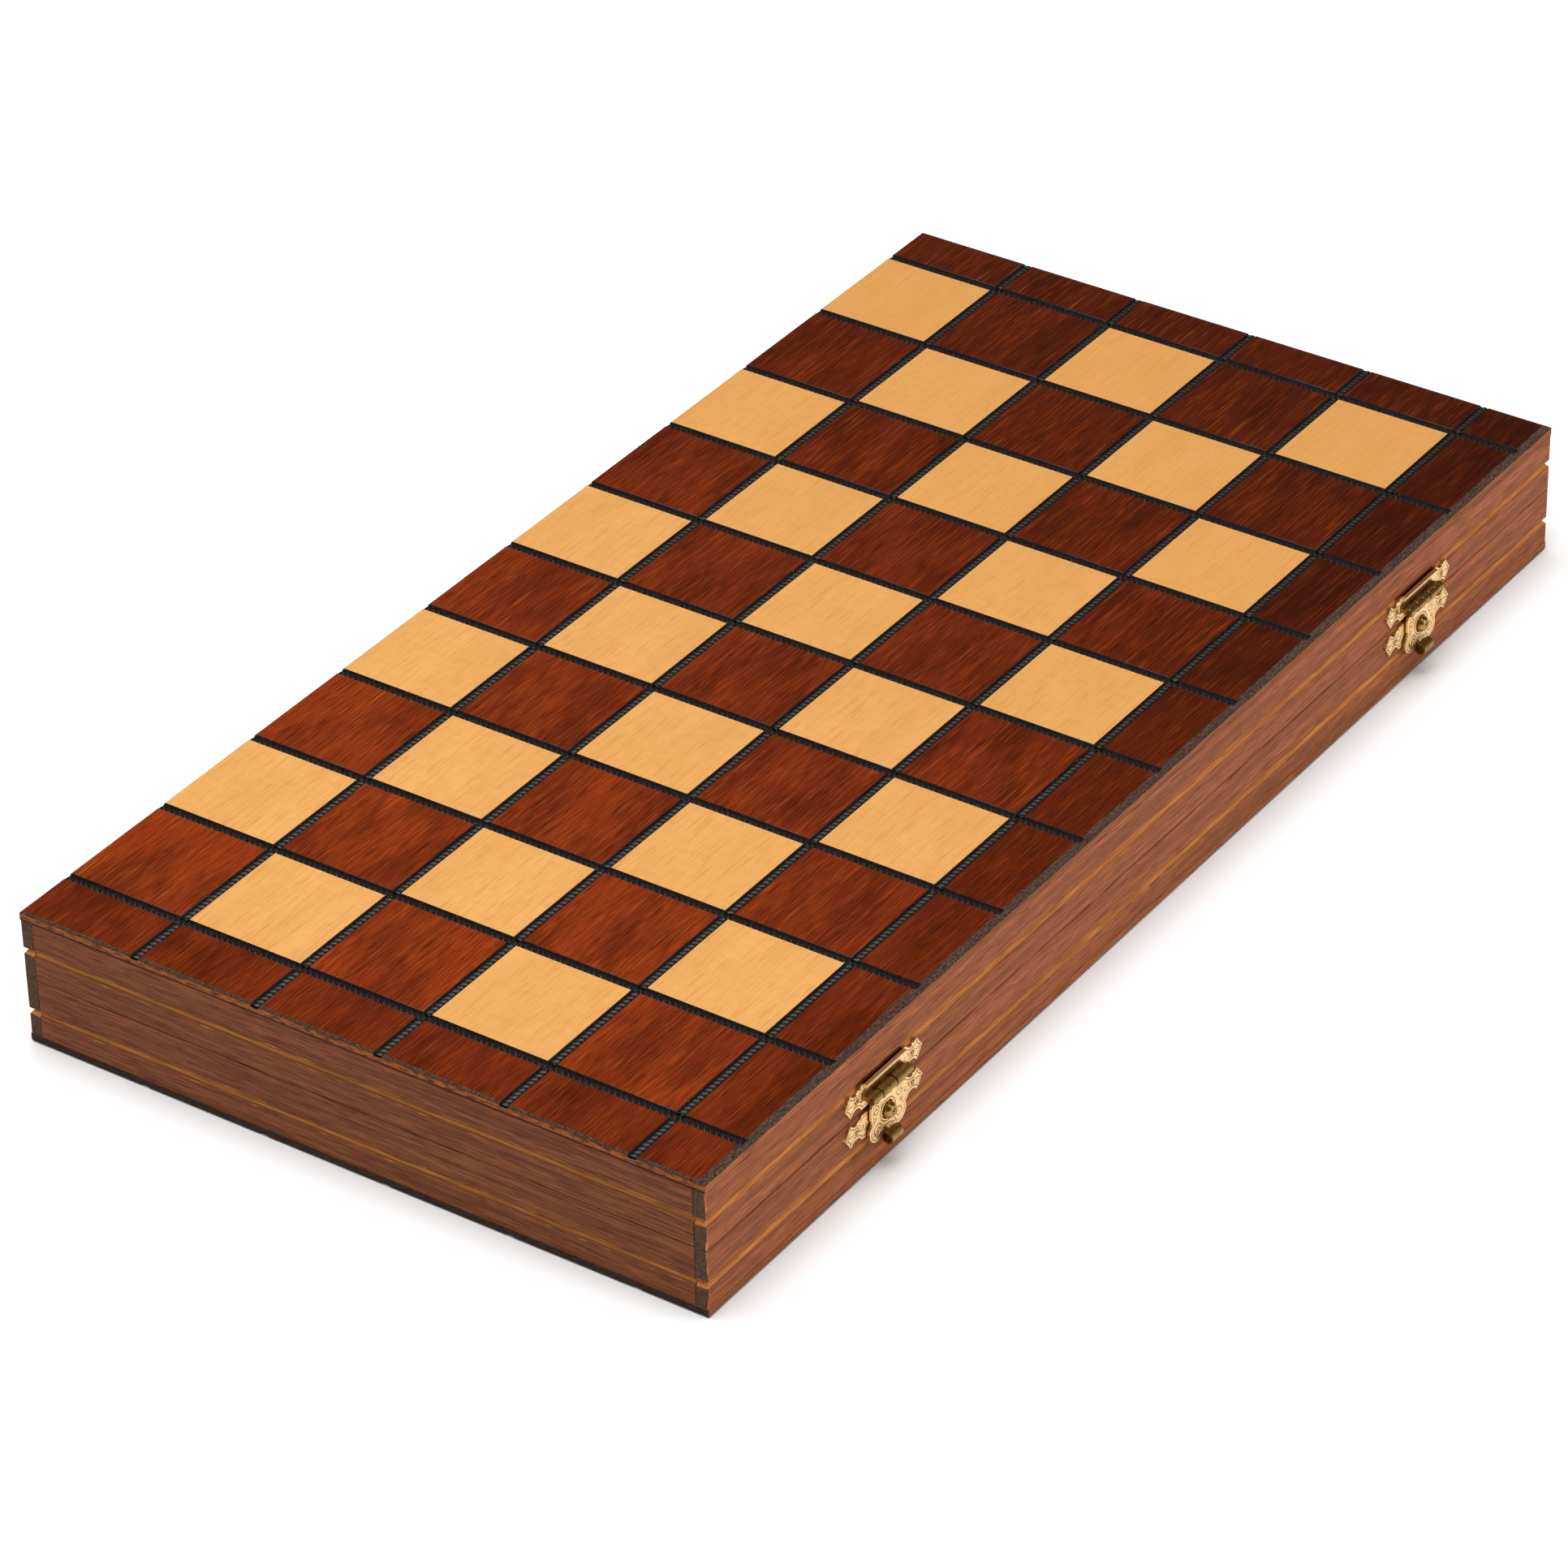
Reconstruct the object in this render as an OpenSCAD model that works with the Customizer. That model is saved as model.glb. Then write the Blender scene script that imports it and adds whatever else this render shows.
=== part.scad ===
// Folding wooden game case: draughts board outside, backgammon field inside.
// X runs along the case, -Y is the clasp side, +Y the hinge side, +Z up. The case is shut.
// The origin is the centre of the underside.

/* [Case] */
// Outside length of the case
case_l = 400; // [380:1:420]
// Outside width of the closed case
case_w = 202; // [196:1:210]
// Height of the closed case
case_h = 38.6; // [36:0.2:44]
// Thickness of the two board panels
panel_t = 2.4; // [1.8:0.1:3]
// Thickness of the four walls of each half
wall_t = 9; // [8:0.5:11]
// What the corner rabbet leaves of a long wall over the end of a short one
lap_t = 3.5; // [2.5:0.25:5]
// Open seam between the two rims
seam = 0.1; // [0.05:0.05:0.3]

/* [Scored lines on the walls] */
// Width of the V groove
vee_w = 2; // [1:0.25:3]
// Depth of the V groove
vee_d = 1; // [0.5:0.1:1.5]
// Height of the groove round the base half
vee_base_z = 9.3; // [7:0.1:12]
// Height of the groove round the lid half
vee_lid_z = 27.3; // [25:0.1:29]

/* [Draughts board] */
// Side of one square, from line to line
square_s = 36.5; // [34:0.5:36.5]
// Border before the first line at the left end
border_left = 18.3; // [10:0.1:20]
// From the hinge edge to the first lengthwise line
border_hinge = 35.6; // [30:0.1:36]
// Width of a pressed line
line_w = 2.8; // [1.5:0.1:3.5]
// Depth of a pressed line
line_d = 0.8; // [0.4:0.1:1]
// Plain strip between the clasp edge and the ends of the crosswise lines
line_stop = 1.5; // [0:0.5:4]

/* [Backgammon field] */
// Length of one point
point_l = 156; // [120:2:158]
// Width of the scored outline of a point
point_line_w = 0.8; // [0.5:0.1:1.2]
// Depth of the scored outline
point_line_d = 0.3; // [0.2:0.1:0.6]

/* [Men and dice] */
// Diameter of a man
man_d = 29; // [24:0.5:29]
// Thickness of a man
man_t = 7; // [6:0.5:7]
// Side of a die
die_s = 14; // [10:1:14]

/* [Hinges] */
// Distance of each hinge from the middle of the case
hinge_x = 125; // [80:5:150]
// Length of a hinge
hinge_l = 30; // [25:1:40]
// Outer radius of the hinge barrel
hinge_r = 2; // [1.8:0.1:2.2]
// Radius of the hinge pin
hinge_pin_r = 0.95; // [0.7:0.05:1]
// Width of a leaf on the rim
leaf_w = 7.4; // [6.5:0.1:8]
// Thickness of a leaf
leaf_t = 0.9; // [0.7:0.1:1]

/* [Clasps] */
// Distance of each clasp from the middle of the case
clasp_x = 127.4; // [90:0.2:140]
// Thickness of the stamped brass
brass_t = 0.8; // [0.6:0.1:0.9]
// Half width of a plate over its ear tips
ear_x = 16.6; // [15.5:0.1:18]
// Height of the middle of the lid plate
plate_lid_z = 24.3; // [24:0.1:25]
// Height of the middle of the base plate and of its knob
plate_base_z = 15.6; // [14.5:0.1:15.6]
// Outer radius of the clasp barrel
clasp_r = 1.5; // [1.3:0.1:1.6]
// Radius of the clasp pin
clasp_pin_r = 0.55; // [0.4:0.05:0.6]
// Radius of the knob that the hasp drops over
knob_r = 2.1; // [1.6:0.1:2.2]

/* [Hidden] */
$fn = 48;
cut = 1;  // how far a cutter passes a surface
clear_run = 0.05;  // radial clearance of a pin in a moving knuckle

half_h = (case_h - seam) / 2;
seam_z = case_h / 2;
inner_l = case_l - 2 * wall_t;
inner_w = case_w - 2 * wall_t;
front_y = -case_w / 2;
back_y = case_w / 2;
left_x = -case_l / 2;

cross_lines = 11;
long_lines = 5;
points_a_side = 6;
point_pitch = inner_w / points_a_side;
point_gap = 0.8;  // bare wood between two points at the wall

// The hinge pin lies just behind the back face, so the halves open flat.
hinge_y = back_y + 0.1;
leaf_gap = 0.15;
knuckles = 5;
knuckle_gap = 0.1;
mortise_gap = 0.15;
screw_x = 8.5;  // from the middle of the hinge
screw_in = 4.2;  // from the inner edge of the leaf
screw_head_r = 1.6;
screw_shank_r = 0.8;
screw_l = 7;

// Clasp positions, outwards from the front face of the case
plate_h = 7;
hasp_gap = 0.3;
barrel_gap = 0.15;
clasp_axis_y = front_y - brass_t - barrel_gap - clasp_r;
clasp_axis_z = plate_lid_z - 1;
hasp_back_y = front_y - brass_t - hasp_gap;
hasp_neck = 9;
barrel_l = 17;
mid_knuckle = 2.8;
hasp_hole_r = knob_r + 0.4;
nail_x = 12;
nail_r = 0.4;

stack_men = 4;
stacks = 5;
man_gap = 0.6;
stack_gap = 0.05;  // keeps the men of one stack apart

// ---- small shapes ----

// A box from its lowest to its highest corner
module block(low, high) {
    translate(low) cube(high - low);
}

// A round bar along X, centred on x = 0
module bar_x(r, l) {
    rotate([0, 90, 0]) cylinder(r = r, h = l, center = true);
}

// A flat outline drawn in X and Z, extruded outwards (-Y) from the front face
module on_front(y, t) {
    translate([0, y, 0]) rotate([90, 0, 0]) linear_extrude(t) children();
}

// Turns a piece of the base half over into the lid half
module over() {
    translate([0, 0, case_h]) mirror([0, 0, 1]) children();
}

// ---- board panels ----

// The pressed lines of one half board, on the face at z = 0
module pressed_lines() {
    for (i = [0 : cross_lines - 1]) {
        x = left_x + border_left + i * square_s;
        block([x - line_w / 2, front_y + line_stop, -cut],
              [x + line_w / 2, back_y + cut, line_d]);
    }
    for (i = [0 : long_lines - 1]) {
        y = back_y - border_hinge - i * square_s;
        block([left_x - cut, y - line_w / 2, -cut],
              [-left_x + cut, y + line_w / 2, line_d]);
    }
}

// One backgammon point, its base on x = 0 and its tip on +X
module point_outline() {
    base = point_pitch - point_gap;
    side = sqrt(pow(point_l, 2) + pow(base / 2, 2));
    inner_r = base * point_l / (base + 2 * side);
    shape = [[0, -base / 2], [point_l, 0], [0, base / 2]];
    difference() {
        polygon(shape);
        translate([inner_r, 0]) scale(1 - point_line_w / inner_r) translate([-inner_r, 0])
            polygon(shape);
    }
}

// The scored points of one half field, on the face at z = panel_t
module scored_points() {
    for (s = [0, 1], i = [0 : points_a_side - 1]) {
        y = (i - (points_a_side - 1) / 2) * point_pitch;
        mirror([s, 0, 0]) translate([-inner_l / 2 + point_gap, y, panel_t - point_line_d])
            linear_extrude(point_line_d + cut) point_outline();
    }
}

module panel() {
    difference() {
        block([left_x, front_y, 0], [-left_x, back_y, panel_t]);
        pressed_lines();
        scored_points();
    }
}

module base_panel() {
    color("#c9974f") panel();
}

module lid_panel() {
    color("#c9974f") over() panel();
}

// ---- walls ----

// A V groove along X in the face y = 0, opening to -Y
module vee(l) {
    half = vee_w / 2 * (vee_d + cut) / vee_d;
    rotate([90, 0, 90]) linear_extrude(l, center = true)
        polygon([[-cut, -half], [vee_d, 0], [-cut, half]]);
}

// Front wall of the base half: full length, with a rabbet at each end for the short wall
module long_wall(vee_z) {
    difference() {
        block([left_x, front_y, panel_t], [-left_x, front_y + wall_t, half_h]);
        for (s = [0, 1]) {
            mirror([s, 0, 0]) {
                block([left_x - cut, front_y + lap_t, 0],
                      [left_x + wall_t, front_y + wall_t + cut, half_h + cut]);
                translate([left_x, 0, vee_z]) rotate([0, 0, -90]) vee(3 * case_w);
            }
        }
        translate([0, front_y, vee_z]) vee(case_l + 2 * cut);
    }
}

// Left wall of the base half, between the laps of the long walls
module short_wall(vee_z) {
    difference() {
        block([left_x, front_y + lap_t, panel_t], [left_x + wall_t, -front_y - lap_t, half_h]);
        translate([left_x, 0, vee_z]) rotate([0, 0, -90]) vee(case_w + 2 * cut);
    }
}

// Room in the back wall for the hinge leaves and barrels
module hinge_mortises() {
    for (s = [-1, 1]) {
        translate([s * hinge_x, 0, 0]) {
            block([-hinge_l / 2 - mortise_gap, back_y - leaf_w - mortise_gap, half_h - leaf_t],
                  [hinge_l / 2 + mortise_gap, back_y + cut, half_h + cut]);
            translate([0, hinge_y, seam_z]) bar_x(hinge_r + 0.3, hinge_l + 3);
        }
    }
}

module back_wall(vee_z) {
    difference() {
        mirror([0, 1, 0]) long_wall(vee_z);
        hinge_mortises();
    }
}

module base_front_wall() {
    color("#8a5438") long_wall(vee_base_z);
}

module base_back_wall() {
    color("#8a5438") back_wall(vee_base_z);
}

module base_left_wall() {
    color("#6b4532") short_wall(vee_base_z);
}

module base_right_wall() {
    color("#6b4532") mirror([1, 0, 0]) short_wall(vee_base_z);
}

module lid_front_wall() {
    color("#8f583c") over() long_wall(case_h - vee_lid_z);
}

module lid_back_wall() {
    color("#8f583c") over() back_wall(case_h - vee_lid_z);
}

module lid_left_wall() {
    color("#704935") over() short_wall(case_h - vee_lid_z);
}

module lid_right_wall() {
    color("#704935") over() mirror([1, 0, 0]) short_wall(case_h - vee_lid_z);
}

// ---- butt hinges ----

// One leaf of the base half with every second knuckle; first is 0 or 1
module hinge_leaf(first) {
    pitch = hinge_l / knuckles;
    bore_r = hinge_pin_r + clear_run;
    difference() {
        union() {
            block([-hinge_l / 2, back_y - leaf_w, half_h - leaf_t],
                  [hinge_l / 2, hinge_y - hinge_r - leaf_gap, half_h]);
            for (k = [first : 2 : knuckles - 1]) {
                translate([(k - (knuckles - 1) / 2) * pitch, 0, 0]) {
                    translate([0, hinge_y, seam_z]) bar_x(hinge_r, pitch - knuckle_gap);
                    block([-(pitch - knuckle_gap) / 2, back_y - leaf_w / 2, half_h - leaf_t],
                          [(pitch - knuckle_gap) / 2, hinge_y, half_h]);
                }
            }
        }
        translate([0, hinge_y, seam_z]) bar_x(bore_r, hinge_l + 2 * cut);
        for (s = [-1, 1]) {
            translate([s * screw_x, back_y - leaf_w + screw_in - 1, half_h]) screw_hole();
        }
    }
}

// Countersunk hole from the leaf's outer face down
module screw_hole() {
    translate([0, 0, -leaf_t - cut]) cylinder(r = screw_shank_r + 0.1, h = leaf_t + 2 * cut);
    translate([0, 0, -leaf_t]) cylinder(r1 = screw_head_r - leaf_t, r2 = screw_head_r, h = leaf_t);
    cylinder(r = screw_head_r, h = cut);
}

// Countersunk slotted wood screw, its head's top at z = 0
module wood_screw() {
    sink = 0.1;
    head_r = screw_head_r - 0.05 - sink;
    head_h = head_r - screw_shank_r;
    difference() {
        translate([0, 0, -sink]) union() {
            translate([0, 0, -head_h]) cylinder(r1 = screw_shank_r, r2 = head_r, h = head_h);
            translate([0, 0, -screw_l]) cylinder(r = screw_shank_r, h = screw_l - head_h);
            translate([0, 0, -screw_l - 1.4]) cylinder(r1 = 0.15, r2 = screw_shank_r, h = 1.4);
        }
        block([-2, -0.2, -sink - 0.35], [2, 0.2, cut]);
    }
}

module hinge_screws() {
    for (h = [-1, 1], s = [-1, 1]) {
        translate([h * hinge_x + s * screw_x, back_y - leaf_w + screw_in - 1, half_h]) wood_screw();
    }
}

// The pin with its two riveted ends
module hinge_pin() {
    end_t = 0.5;
    translate([0, hinge_y, seam_z]) {
        bar_x(hinge_pin_r, hinge_l + 0.2);
        for (s = [0, 1]) {
            mirror([s, 0, 0]) translate([hinge_l / 2 + 0.05, 0, 0]) rotate([0, 90, 0])
                cylinder(r1 = hinge_pin_r + 0.5, r2 = hinge_pin_r + 0.1, h = end_t);
        }
    }
}

module hinge_left_base_leaf() {
    color("#b08d3c") translate([-hinge_x, 0, 0]) hinge_leaf(0);
}

module hinge_right_base_leaf() {
    color("#b08d3c") translate([hinge_x, 0, 0]) hinge_leaf(0);
}

module hinge_left_lid_leaf() {
    color("#b08d3c") translate([-hinge_x, 0, 0]) over() hinge_leaf(1);
}

module hinge_right_lid_leaf() {
    color("#b08d3c") translate([hinge_x, 0, 0]) over() hinge_leaf(1);
}

module hinge_left_pin() {
    color("#8f7534") translate([-hinge_x, 0, 0]) hinge_pin();
}

module hinge_right_pin() {
    color("#8f7534") translate([hinge_x, 0, 0]) hinge_pin();
}

module hinge_base_screws() {
    color("#a5873f") hinge_screws();
}

module hinge_lid_screws() {
    color("#a5873f") over() hinge_screws();
}

// ---- clasps ----

// Outline of a stamped plate with a scalloped ear at each end, centred on [0, 0]
module plate_outline() {
    h = plate_h / 2;
    difference() {
        polygon([
            [-9.4, -h], [9.4, -h], [14.3, -h + 0.3], [ear_x, 0], [14.3, h - 0.3], [9.4, h],
            [-9.4, h], [-14.3, h - 0.3], [-ear_x, 0], [-14.3, -h + 0.3]
        ]);
        for (sx = [-1, 1], sz = [-1, 1]) {
            translate([sx * 11.9, sz * (h + 1)]) circle(r = 2.5);
            translate([sx * (ear_x - 0.1), sz * 2.5]) circle(r = 1.5);
        }
        for (sx = [-1, 1]) {
            translate([sx * nail_x, 0]) circle(r = nail_r + 0.05);
        }
    }
}

// Lid plate with its folded top lip and three knuckles of the barrel
module lid_plate() {
    outer = (barrel_l - hasp_neck) / 2 - 0.1;
    difference() {
        union() {
            translate([0, 0, plate_lid_z]) on_front(front_y, brass_t) plate_outline();
            block([-8.4, front_y - 1.7, plate_lid_z + plate_h / 2 - 0.7],
                  [8.4, front_y, plate_lid_z + plate_h / 2]);
            for (s = [-1, 1]) {
                plate_knuckle(s * (barrel_l - outer) / 2, outer);
            }
            plate_knuckle(0, mid_knuckle);
        }
        translate([0, clasp_axis_y, clasp_axis_z]) bar_x(clasp_pin_r + 0.02, barrel_l + 2 * cut);
    }
}

// One knuckle of length l, with the tab that joins it to the plate over the top of the barrel
module plate_knuckle(x, l) {
    translate([x, clasp_axis_y, clasp_axis_z]) bar_x(clasp_r, l);
    block([x - l / 2, clasp_axis_y, clasp_axis_z + clasp_r - brass_t],
          [x + l / 2, front_y - brass_t / 2, clasp_axis_z + clasp_r]);
}

// Front outline of the hasp: neck, shoulders and two lobes
module hasp_outline() {
    shoulder_z = clasp_axis_z - 2.6;
    lobe_z = plate_base_z - 3.4;
    difference() {
        union() {
            translate([-hasp_neck / 2, lobe_z]) square([hasp_neck, clasp_axis_z - lobe_z]);
            translate([-6.9, lobe_z]) square([13.8, shoulder_z - lobe_z - 1.2]);
            for (s = [-1, 1]) {
                translate([s * 5.7, shoulder_z - 1.2]) circle(r = 1.2);
                translate([s * 4.6, lobe_z]) circle(r = 3.2);
            }
            translate([-5.7, lobe_z]) square([11.4, shoulder_z - lobe_z]);
            translate([-2.5, lobe_z - 2.4]) square([5, 3]);
        }
        translate([0, plate_base_z]) circle(r = hasp_hole_r);
        translate([-mid_knuckle / 2 - 0.15, clasp_axis_z - clasp_r - 0.25])
            square([mid_knuckle + 0.3, 3]);
        for (s = [-1, 1]) {
            translate([s * 7.4, plate_base_z - 0.3]) circle(r = 0.9);
        }
    }
}

// Hasp: stamped leaf, two knuckles and the rolled finger curl
module hasp() {
    side_k = (hasp_neck - mid_knuckle) / 2 - 0.2;
    curl_r = 1.9;
    curl_z = plate_base_z - 6.6;
    curl_y = hasp_back_y - curl_r;
    difference() {
        union() {
            on_front(hasp_back_y, brass_t) hasp_outline();
            for (s = [-1, 1]) {
                translate([s * (hasp_neck - side_k) / 2, clasp_axis_y, clasp_axis_z])
                    bar_x(clasp_r, side_k);
            }
            translate([0, curl_y, curl_z]) bar_x(curl_r, 5);
        }
        translate([0, clasp_axis_y, clasp_axis_z]) bar_x(clasp_pin_r + clear_run, barrel_l);
        translate([0, curl_y, curl_z]) bar_x(curl_r - brass_t, 6);
    }
}

module clasp_pin() {
    translate([0, clasp_axis_y, clasp_axis_z]) bar_x(clasp_pin_r, barrel_l + 0.4);
}

module base_plate() {
    translate([0, 0, plate_base_z]) on_front(front_y, brass_t) difference() {
        plate_outline();
        circle(r = 0.85);
    }
}

// Turned knob riveted through the base plate, with its shank in the wall
module knob() {
    tip = 4.2;
    translate([0, front_y, plate_base_z]) rotate([90, 0, 0]) rotate_extrude() {
        translate([0, -5]) square([0.8, 6]);
        translate([0, brass_t]) square([knob_r - 0.3, 0.8]);
        translate([0, brass_t + 0.8]) square([knob_r, tip - brass_t - 1.3]);
        translate([0, tip - 0.5]) square([knob_r - 0.5, 0.5]);
        intersection() {
            translate([knob_r - 0.5, tip - 0.5]) circle(r = 0.5);
            square([knob_r, tip]);
        }
    }
}

// Round-headed nails through the ears of the two plates at height z
module plate_nails(z) {
    for (c = [-1, 1], s = [-1, 1]) {
        translate([c * clasp_x + s * nail_x, front_y - brass_t, z]) rotate([90, 0, 0]) {
            intersection() {
                translate([0, 0, -0.5]) sphere(r = 0.95);
                cylinder(r = 0.9, h = 1);
            }
            translate([0, 0, -5.5]) cylinder(r = nail_r, h = 5.6);
        }
    }
}

module clasp_left_lid_plate() {
    color("#d9b35c") translate([-clasp_x, 0, 0]) lid_plate();
}

module clasp_right_lid_plate() {
    color("#d9b35c") translate([clasp_x, 0, 0]) lid_plate();
}

module clasp_left_base_plate() {
    color("#d9b35c") translate([-clasp_x, 0, 0]) base_plate();
}

module clasp_right_base_plate() {
    color("#d9b35c") translate([clasp_x, 0, 0]) base_plate();
}

module clasp_left_hasp() {
    color("#e2bf6c") translate([-clasp_x, 0, 0]) hasp();
}

module clasp_right_hasp() {
    color("#e2bf6c") translate([clasp_x, 0, 0]) hasp();
}

module clasp_left_pin() {
    color("#9c7f3c") translate([-clasp_x, 0, 0]) clasp_pin();
}

module clasp_right_pin() {
    color("#9c7f3c") translate([clasp_x, 0, 0]) clasp_pin();
}

module clasp_left_knob() {
    color("#b7924a") translate([-clasp_x, 0, 0]) knob();
}

module clasp_right_knob() {
    color("#b7924a") translate([clasp_x, 0, 0]) knob();
}

module clasp_lid_nails() {
    color("#a88545") plate_nails(plate_lid_z);
}

module clasp_base_nails() {
    color("#a88545") plate_nails(plate_base_z);
}

// ---- men and dice ----

// A turned man: rounded rim, sunk ring and raised button on both faces
module man() {
    r = man_d / 2;
    edge = 1;
    ring_d = 0.8;
    difference() {
        rotate_extrude() {
            square([r - edge, man_t]);
            translate([0, edge]) square([r, man_t - 2 * edge]);
            translate([r - edge, edge]) circle(r = edge);
            translate([r - edge, man_t - edge]) circle(r = edge);
        }
        for (z = [-cut, man_t - ring_d]) {
            translate([0, 0, z]) difference() {
                cylinder(r = r * 0.78, h = ring_d + cut);
                translate([0, 0, -cut]) cylinder(r = r * 0.42, h = ring_d + 3 * cut);
            }
        }
    }
}

// Five stacks of four men, one colour, in a row across the tray
module men(side) {
    pitch = man_d + man_gap;
    for (i = [0 : stacks - 1], k = [0 : stack_men - 1]) {
        y = (i - (stacks - 1) / 2) * pitch;
        translate([side * pitch / 2, y, panel_t + k * (man_t + stack_gap)]) man();
    }
}

// Centres of the pips for one face, in pip steps
function pips(n) = concat(
    n % 2 == 1 ? [[0, 0]] : [],
    n > 1 ? [[-1, -1], [1, 1]] : [],
    n > 3 ? [[-1, 1], [1, -1]] : [],
    n > 5 ? [[-1, 0], [1, 0]] : []
);

module pip_face(n) {
    for (p = pips(n)) {
        translate([p[0] * die_s * 0.25, p[1] * die_s * 0.25, die_s / 2 + 0.7]) sphere(r = 1.6);
    }
}

// A die with balled corners and drilled pips; opposite faces add up to seven
module die() {
    difference() {
        intersection() {
            cube(die_s, center = true);
            sphere(r = die_s * 0.72);
        }
        pip_face(5);
        rotate([180, 0, 0]) pip_face(2);
        rotate([90, 0, 0]) pip_face(3);
        rotate([-90, 0, 0]) pip_face(4);
        rotate([0, 90, 0]) pip_face(6);
        rotate([0, -90, 0]) pip_face(1);
    }
}

module light_men() {
    color("#e3bd7e") men(-1);
}

module dark_men() {
    color("#4a2415") men(1);
}

module die_one() {
    color("#f2ead6") translate([58, -14, panel_t + die_s / 2]) rotate([0, 0, 18]) die();
}

module die_two() {
    color("#f2ead6") translate([66, 12, panel_t + die_s / 2]) rotate([0, 0, -31])
        rotate([90, 0, 0]) die();
}

base_panel();
base_front_wall();
base_back_wall();
base_left_wall();
base_right_wall();
lid_panel();
lid_front_wall();
lid_back_wall();
lid_left_wall();
lid_right_wall();
hinge_left_base_leaf();
hinge_right_base_leaf();
hinge_left_lid_leaf();
hinge_right_lid_leaf();
hinge_left_pin();
hinge_right_pin();
hinge_base_screws();
hinge_lid_screws();
clasp_left_lid_plate();
clasp_right_lid_plate();
clasp_left_base_plate();
clasp_right_base_plate();
clasp_left_hasp();
clasp_right_hasp();
clasp_left_pin();
clasp_right_pin();
clasp_left_knob();
clasp_right_knob();
clasp_lid_nails();
clasp_base_nails();
light_men();
dark_men();
die_one();
die_two();
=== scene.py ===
"""Folding wooden game case: draughts board outside, backgammon field inside.

Builds the visible boards, walls, brassware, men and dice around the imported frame, and the stage.
"""

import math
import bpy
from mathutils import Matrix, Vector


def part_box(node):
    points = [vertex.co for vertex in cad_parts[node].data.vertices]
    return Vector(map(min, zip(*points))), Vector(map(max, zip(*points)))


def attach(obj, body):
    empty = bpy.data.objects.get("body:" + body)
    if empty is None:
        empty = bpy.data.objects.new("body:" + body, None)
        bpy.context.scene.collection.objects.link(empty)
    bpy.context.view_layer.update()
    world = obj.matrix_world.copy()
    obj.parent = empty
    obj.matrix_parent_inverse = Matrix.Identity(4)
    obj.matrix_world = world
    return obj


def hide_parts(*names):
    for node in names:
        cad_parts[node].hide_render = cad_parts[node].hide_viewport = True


bl_info = {
    "name": "Wooden Game Case",
    "version": (1, 0, 0),
    "blender": (4, 5, 0),
    "location": "View3D > Sidebar > Game Case",
    "description": "Builds a folding wooden draughts and backgammon case around its frame",
    "category": "Add Mesh",
}

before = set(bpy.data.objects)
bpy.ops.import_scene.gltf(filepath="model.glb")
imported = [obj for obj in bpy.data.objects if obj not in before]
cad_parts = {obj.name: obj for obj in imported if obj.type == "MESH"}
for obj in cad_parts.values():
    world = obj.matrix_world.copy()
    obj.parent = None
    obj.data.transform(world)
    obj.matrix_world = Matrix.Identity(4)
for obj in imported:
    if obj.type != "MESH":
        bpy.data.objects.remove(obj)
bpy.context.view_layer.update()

import bmesh
import bpy
import numpy as np
from bpy.props import FloatProperty, FloatVectorProperty, IntProperty, PointerProperty
from mathutils import Matrix, Vector
from mathutils.geometry import delaunay_2d_cdt

MM = 0.001

# ---- the frame's own sizes, in millimetres ----


def frame_mm(node_name):
    """Lowest and highest corner of a frame node, in millimetres."""
    low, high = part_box(node_name)
    return np.array(low) / MM, np.array(high) / MM


PANEL_LOW, PANEL_HIGH = frame_mm("lid_panel")
WALL_LOW, WALL_HIGH = frame_mm("base_front_wall")
CASE_X = PANEL_HIGH[0]
CASE_Y = PANEL_HIGH[1]
CASE_H = PANEL_HIGH[2]
PANEL_T = CASE_H - PANEL_LOW[2]
WALL_T = WALL_HIGH[1] - WALL_LOW[1]
VEE_Z = {"base": 9.3, "lid": 27.3}
VEE_HALF = 1.05
CLASPS = {"left": -127.4, "right": 127.4}
TORN_REACH = 1.6  # how far fibres are torn up beside a V groove


def linear(code):
    """Linear RGB of an sRGB hex colour."""
    parts = [int(code[i : i + 2], 16) / 255 for i in (1, 3, 5)]
    return tuple(c / 12.92 if c <= 0.04045 else ((c + 0.055) / 1.055) ** 2.4 for c in parts)


def rgba(colour):
    """A colour with full alpha, for a shader socket."""
    return (*colour, 1.0)


def size_prop(name, about, mm):
    """A length that a user may change, given in millimetres and kept in metres."""
    return FloatProperty(
        name=name, description=about, default=mm * MM, min=0.0, unit="LENGTH", subtype="DISTANCE"
    )


def power_prop(name, about, watts):
    """The strength of a light, which a user may change."""
    return FloatProperty(name=name, description=about, default=watts, min=0.0, unit="POWER")


def colour_prop(name, about, code):
    """A colour that a user may change."""
    return FloatVectorProperty(
        name=name, description=about, default=linear(code), size=3, min=0.0, max=1.0, subtype="COLOR"
    )


class GAMECASE_PG_board(bpy.types.PropertyGroup):
    """Sizes and colours of the two board panels."""

    square: size_prop("Square", "Side of one square, from line to line", 36.5)
    border_end: size_prop("End border", "Border before the first crosswise line", 18.3)
    border_hinge: size_prop("Hinge border", "From the hinge edge to the first long line", 35.6)
    line_w: size_prop("Line width", "Width of a pressed line", 2.8)
    line_d: size_prop("Line depth", "Depth of a pressed line", 0.8)
    line_stop: size_prop("Line stop", "Plain strip at the clasp edge", 1.5)
    rope_w: size_prop("Rope width", "Width of the rope bead in a pressed line", 2.4)
    rope_pitch: size_prop("Rope pitch", "Distance between two lobes of the rope bead", 1.68)
    point_l: size_prop("Point length", "Length of a backgammon point", 156.0)
    birch: colour_prop("Birch", "Light squares", "#cc9758")
    # the stain colours at the two ends paint the light's falloff: lighter at the left end, darker at the
    # right
    stain_painted_lit_end: colour_prop("Stain, painted lit end", "Dark squares at the left end", "#7f2f0e")
    stain_painted_shade_end: colour_prop("Stain, painted shade end", "Dark squares at the right end", "#521b07")
    burnt: colour_prop("Burnt line", "Charred pressed lines", "#141110")


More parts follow.
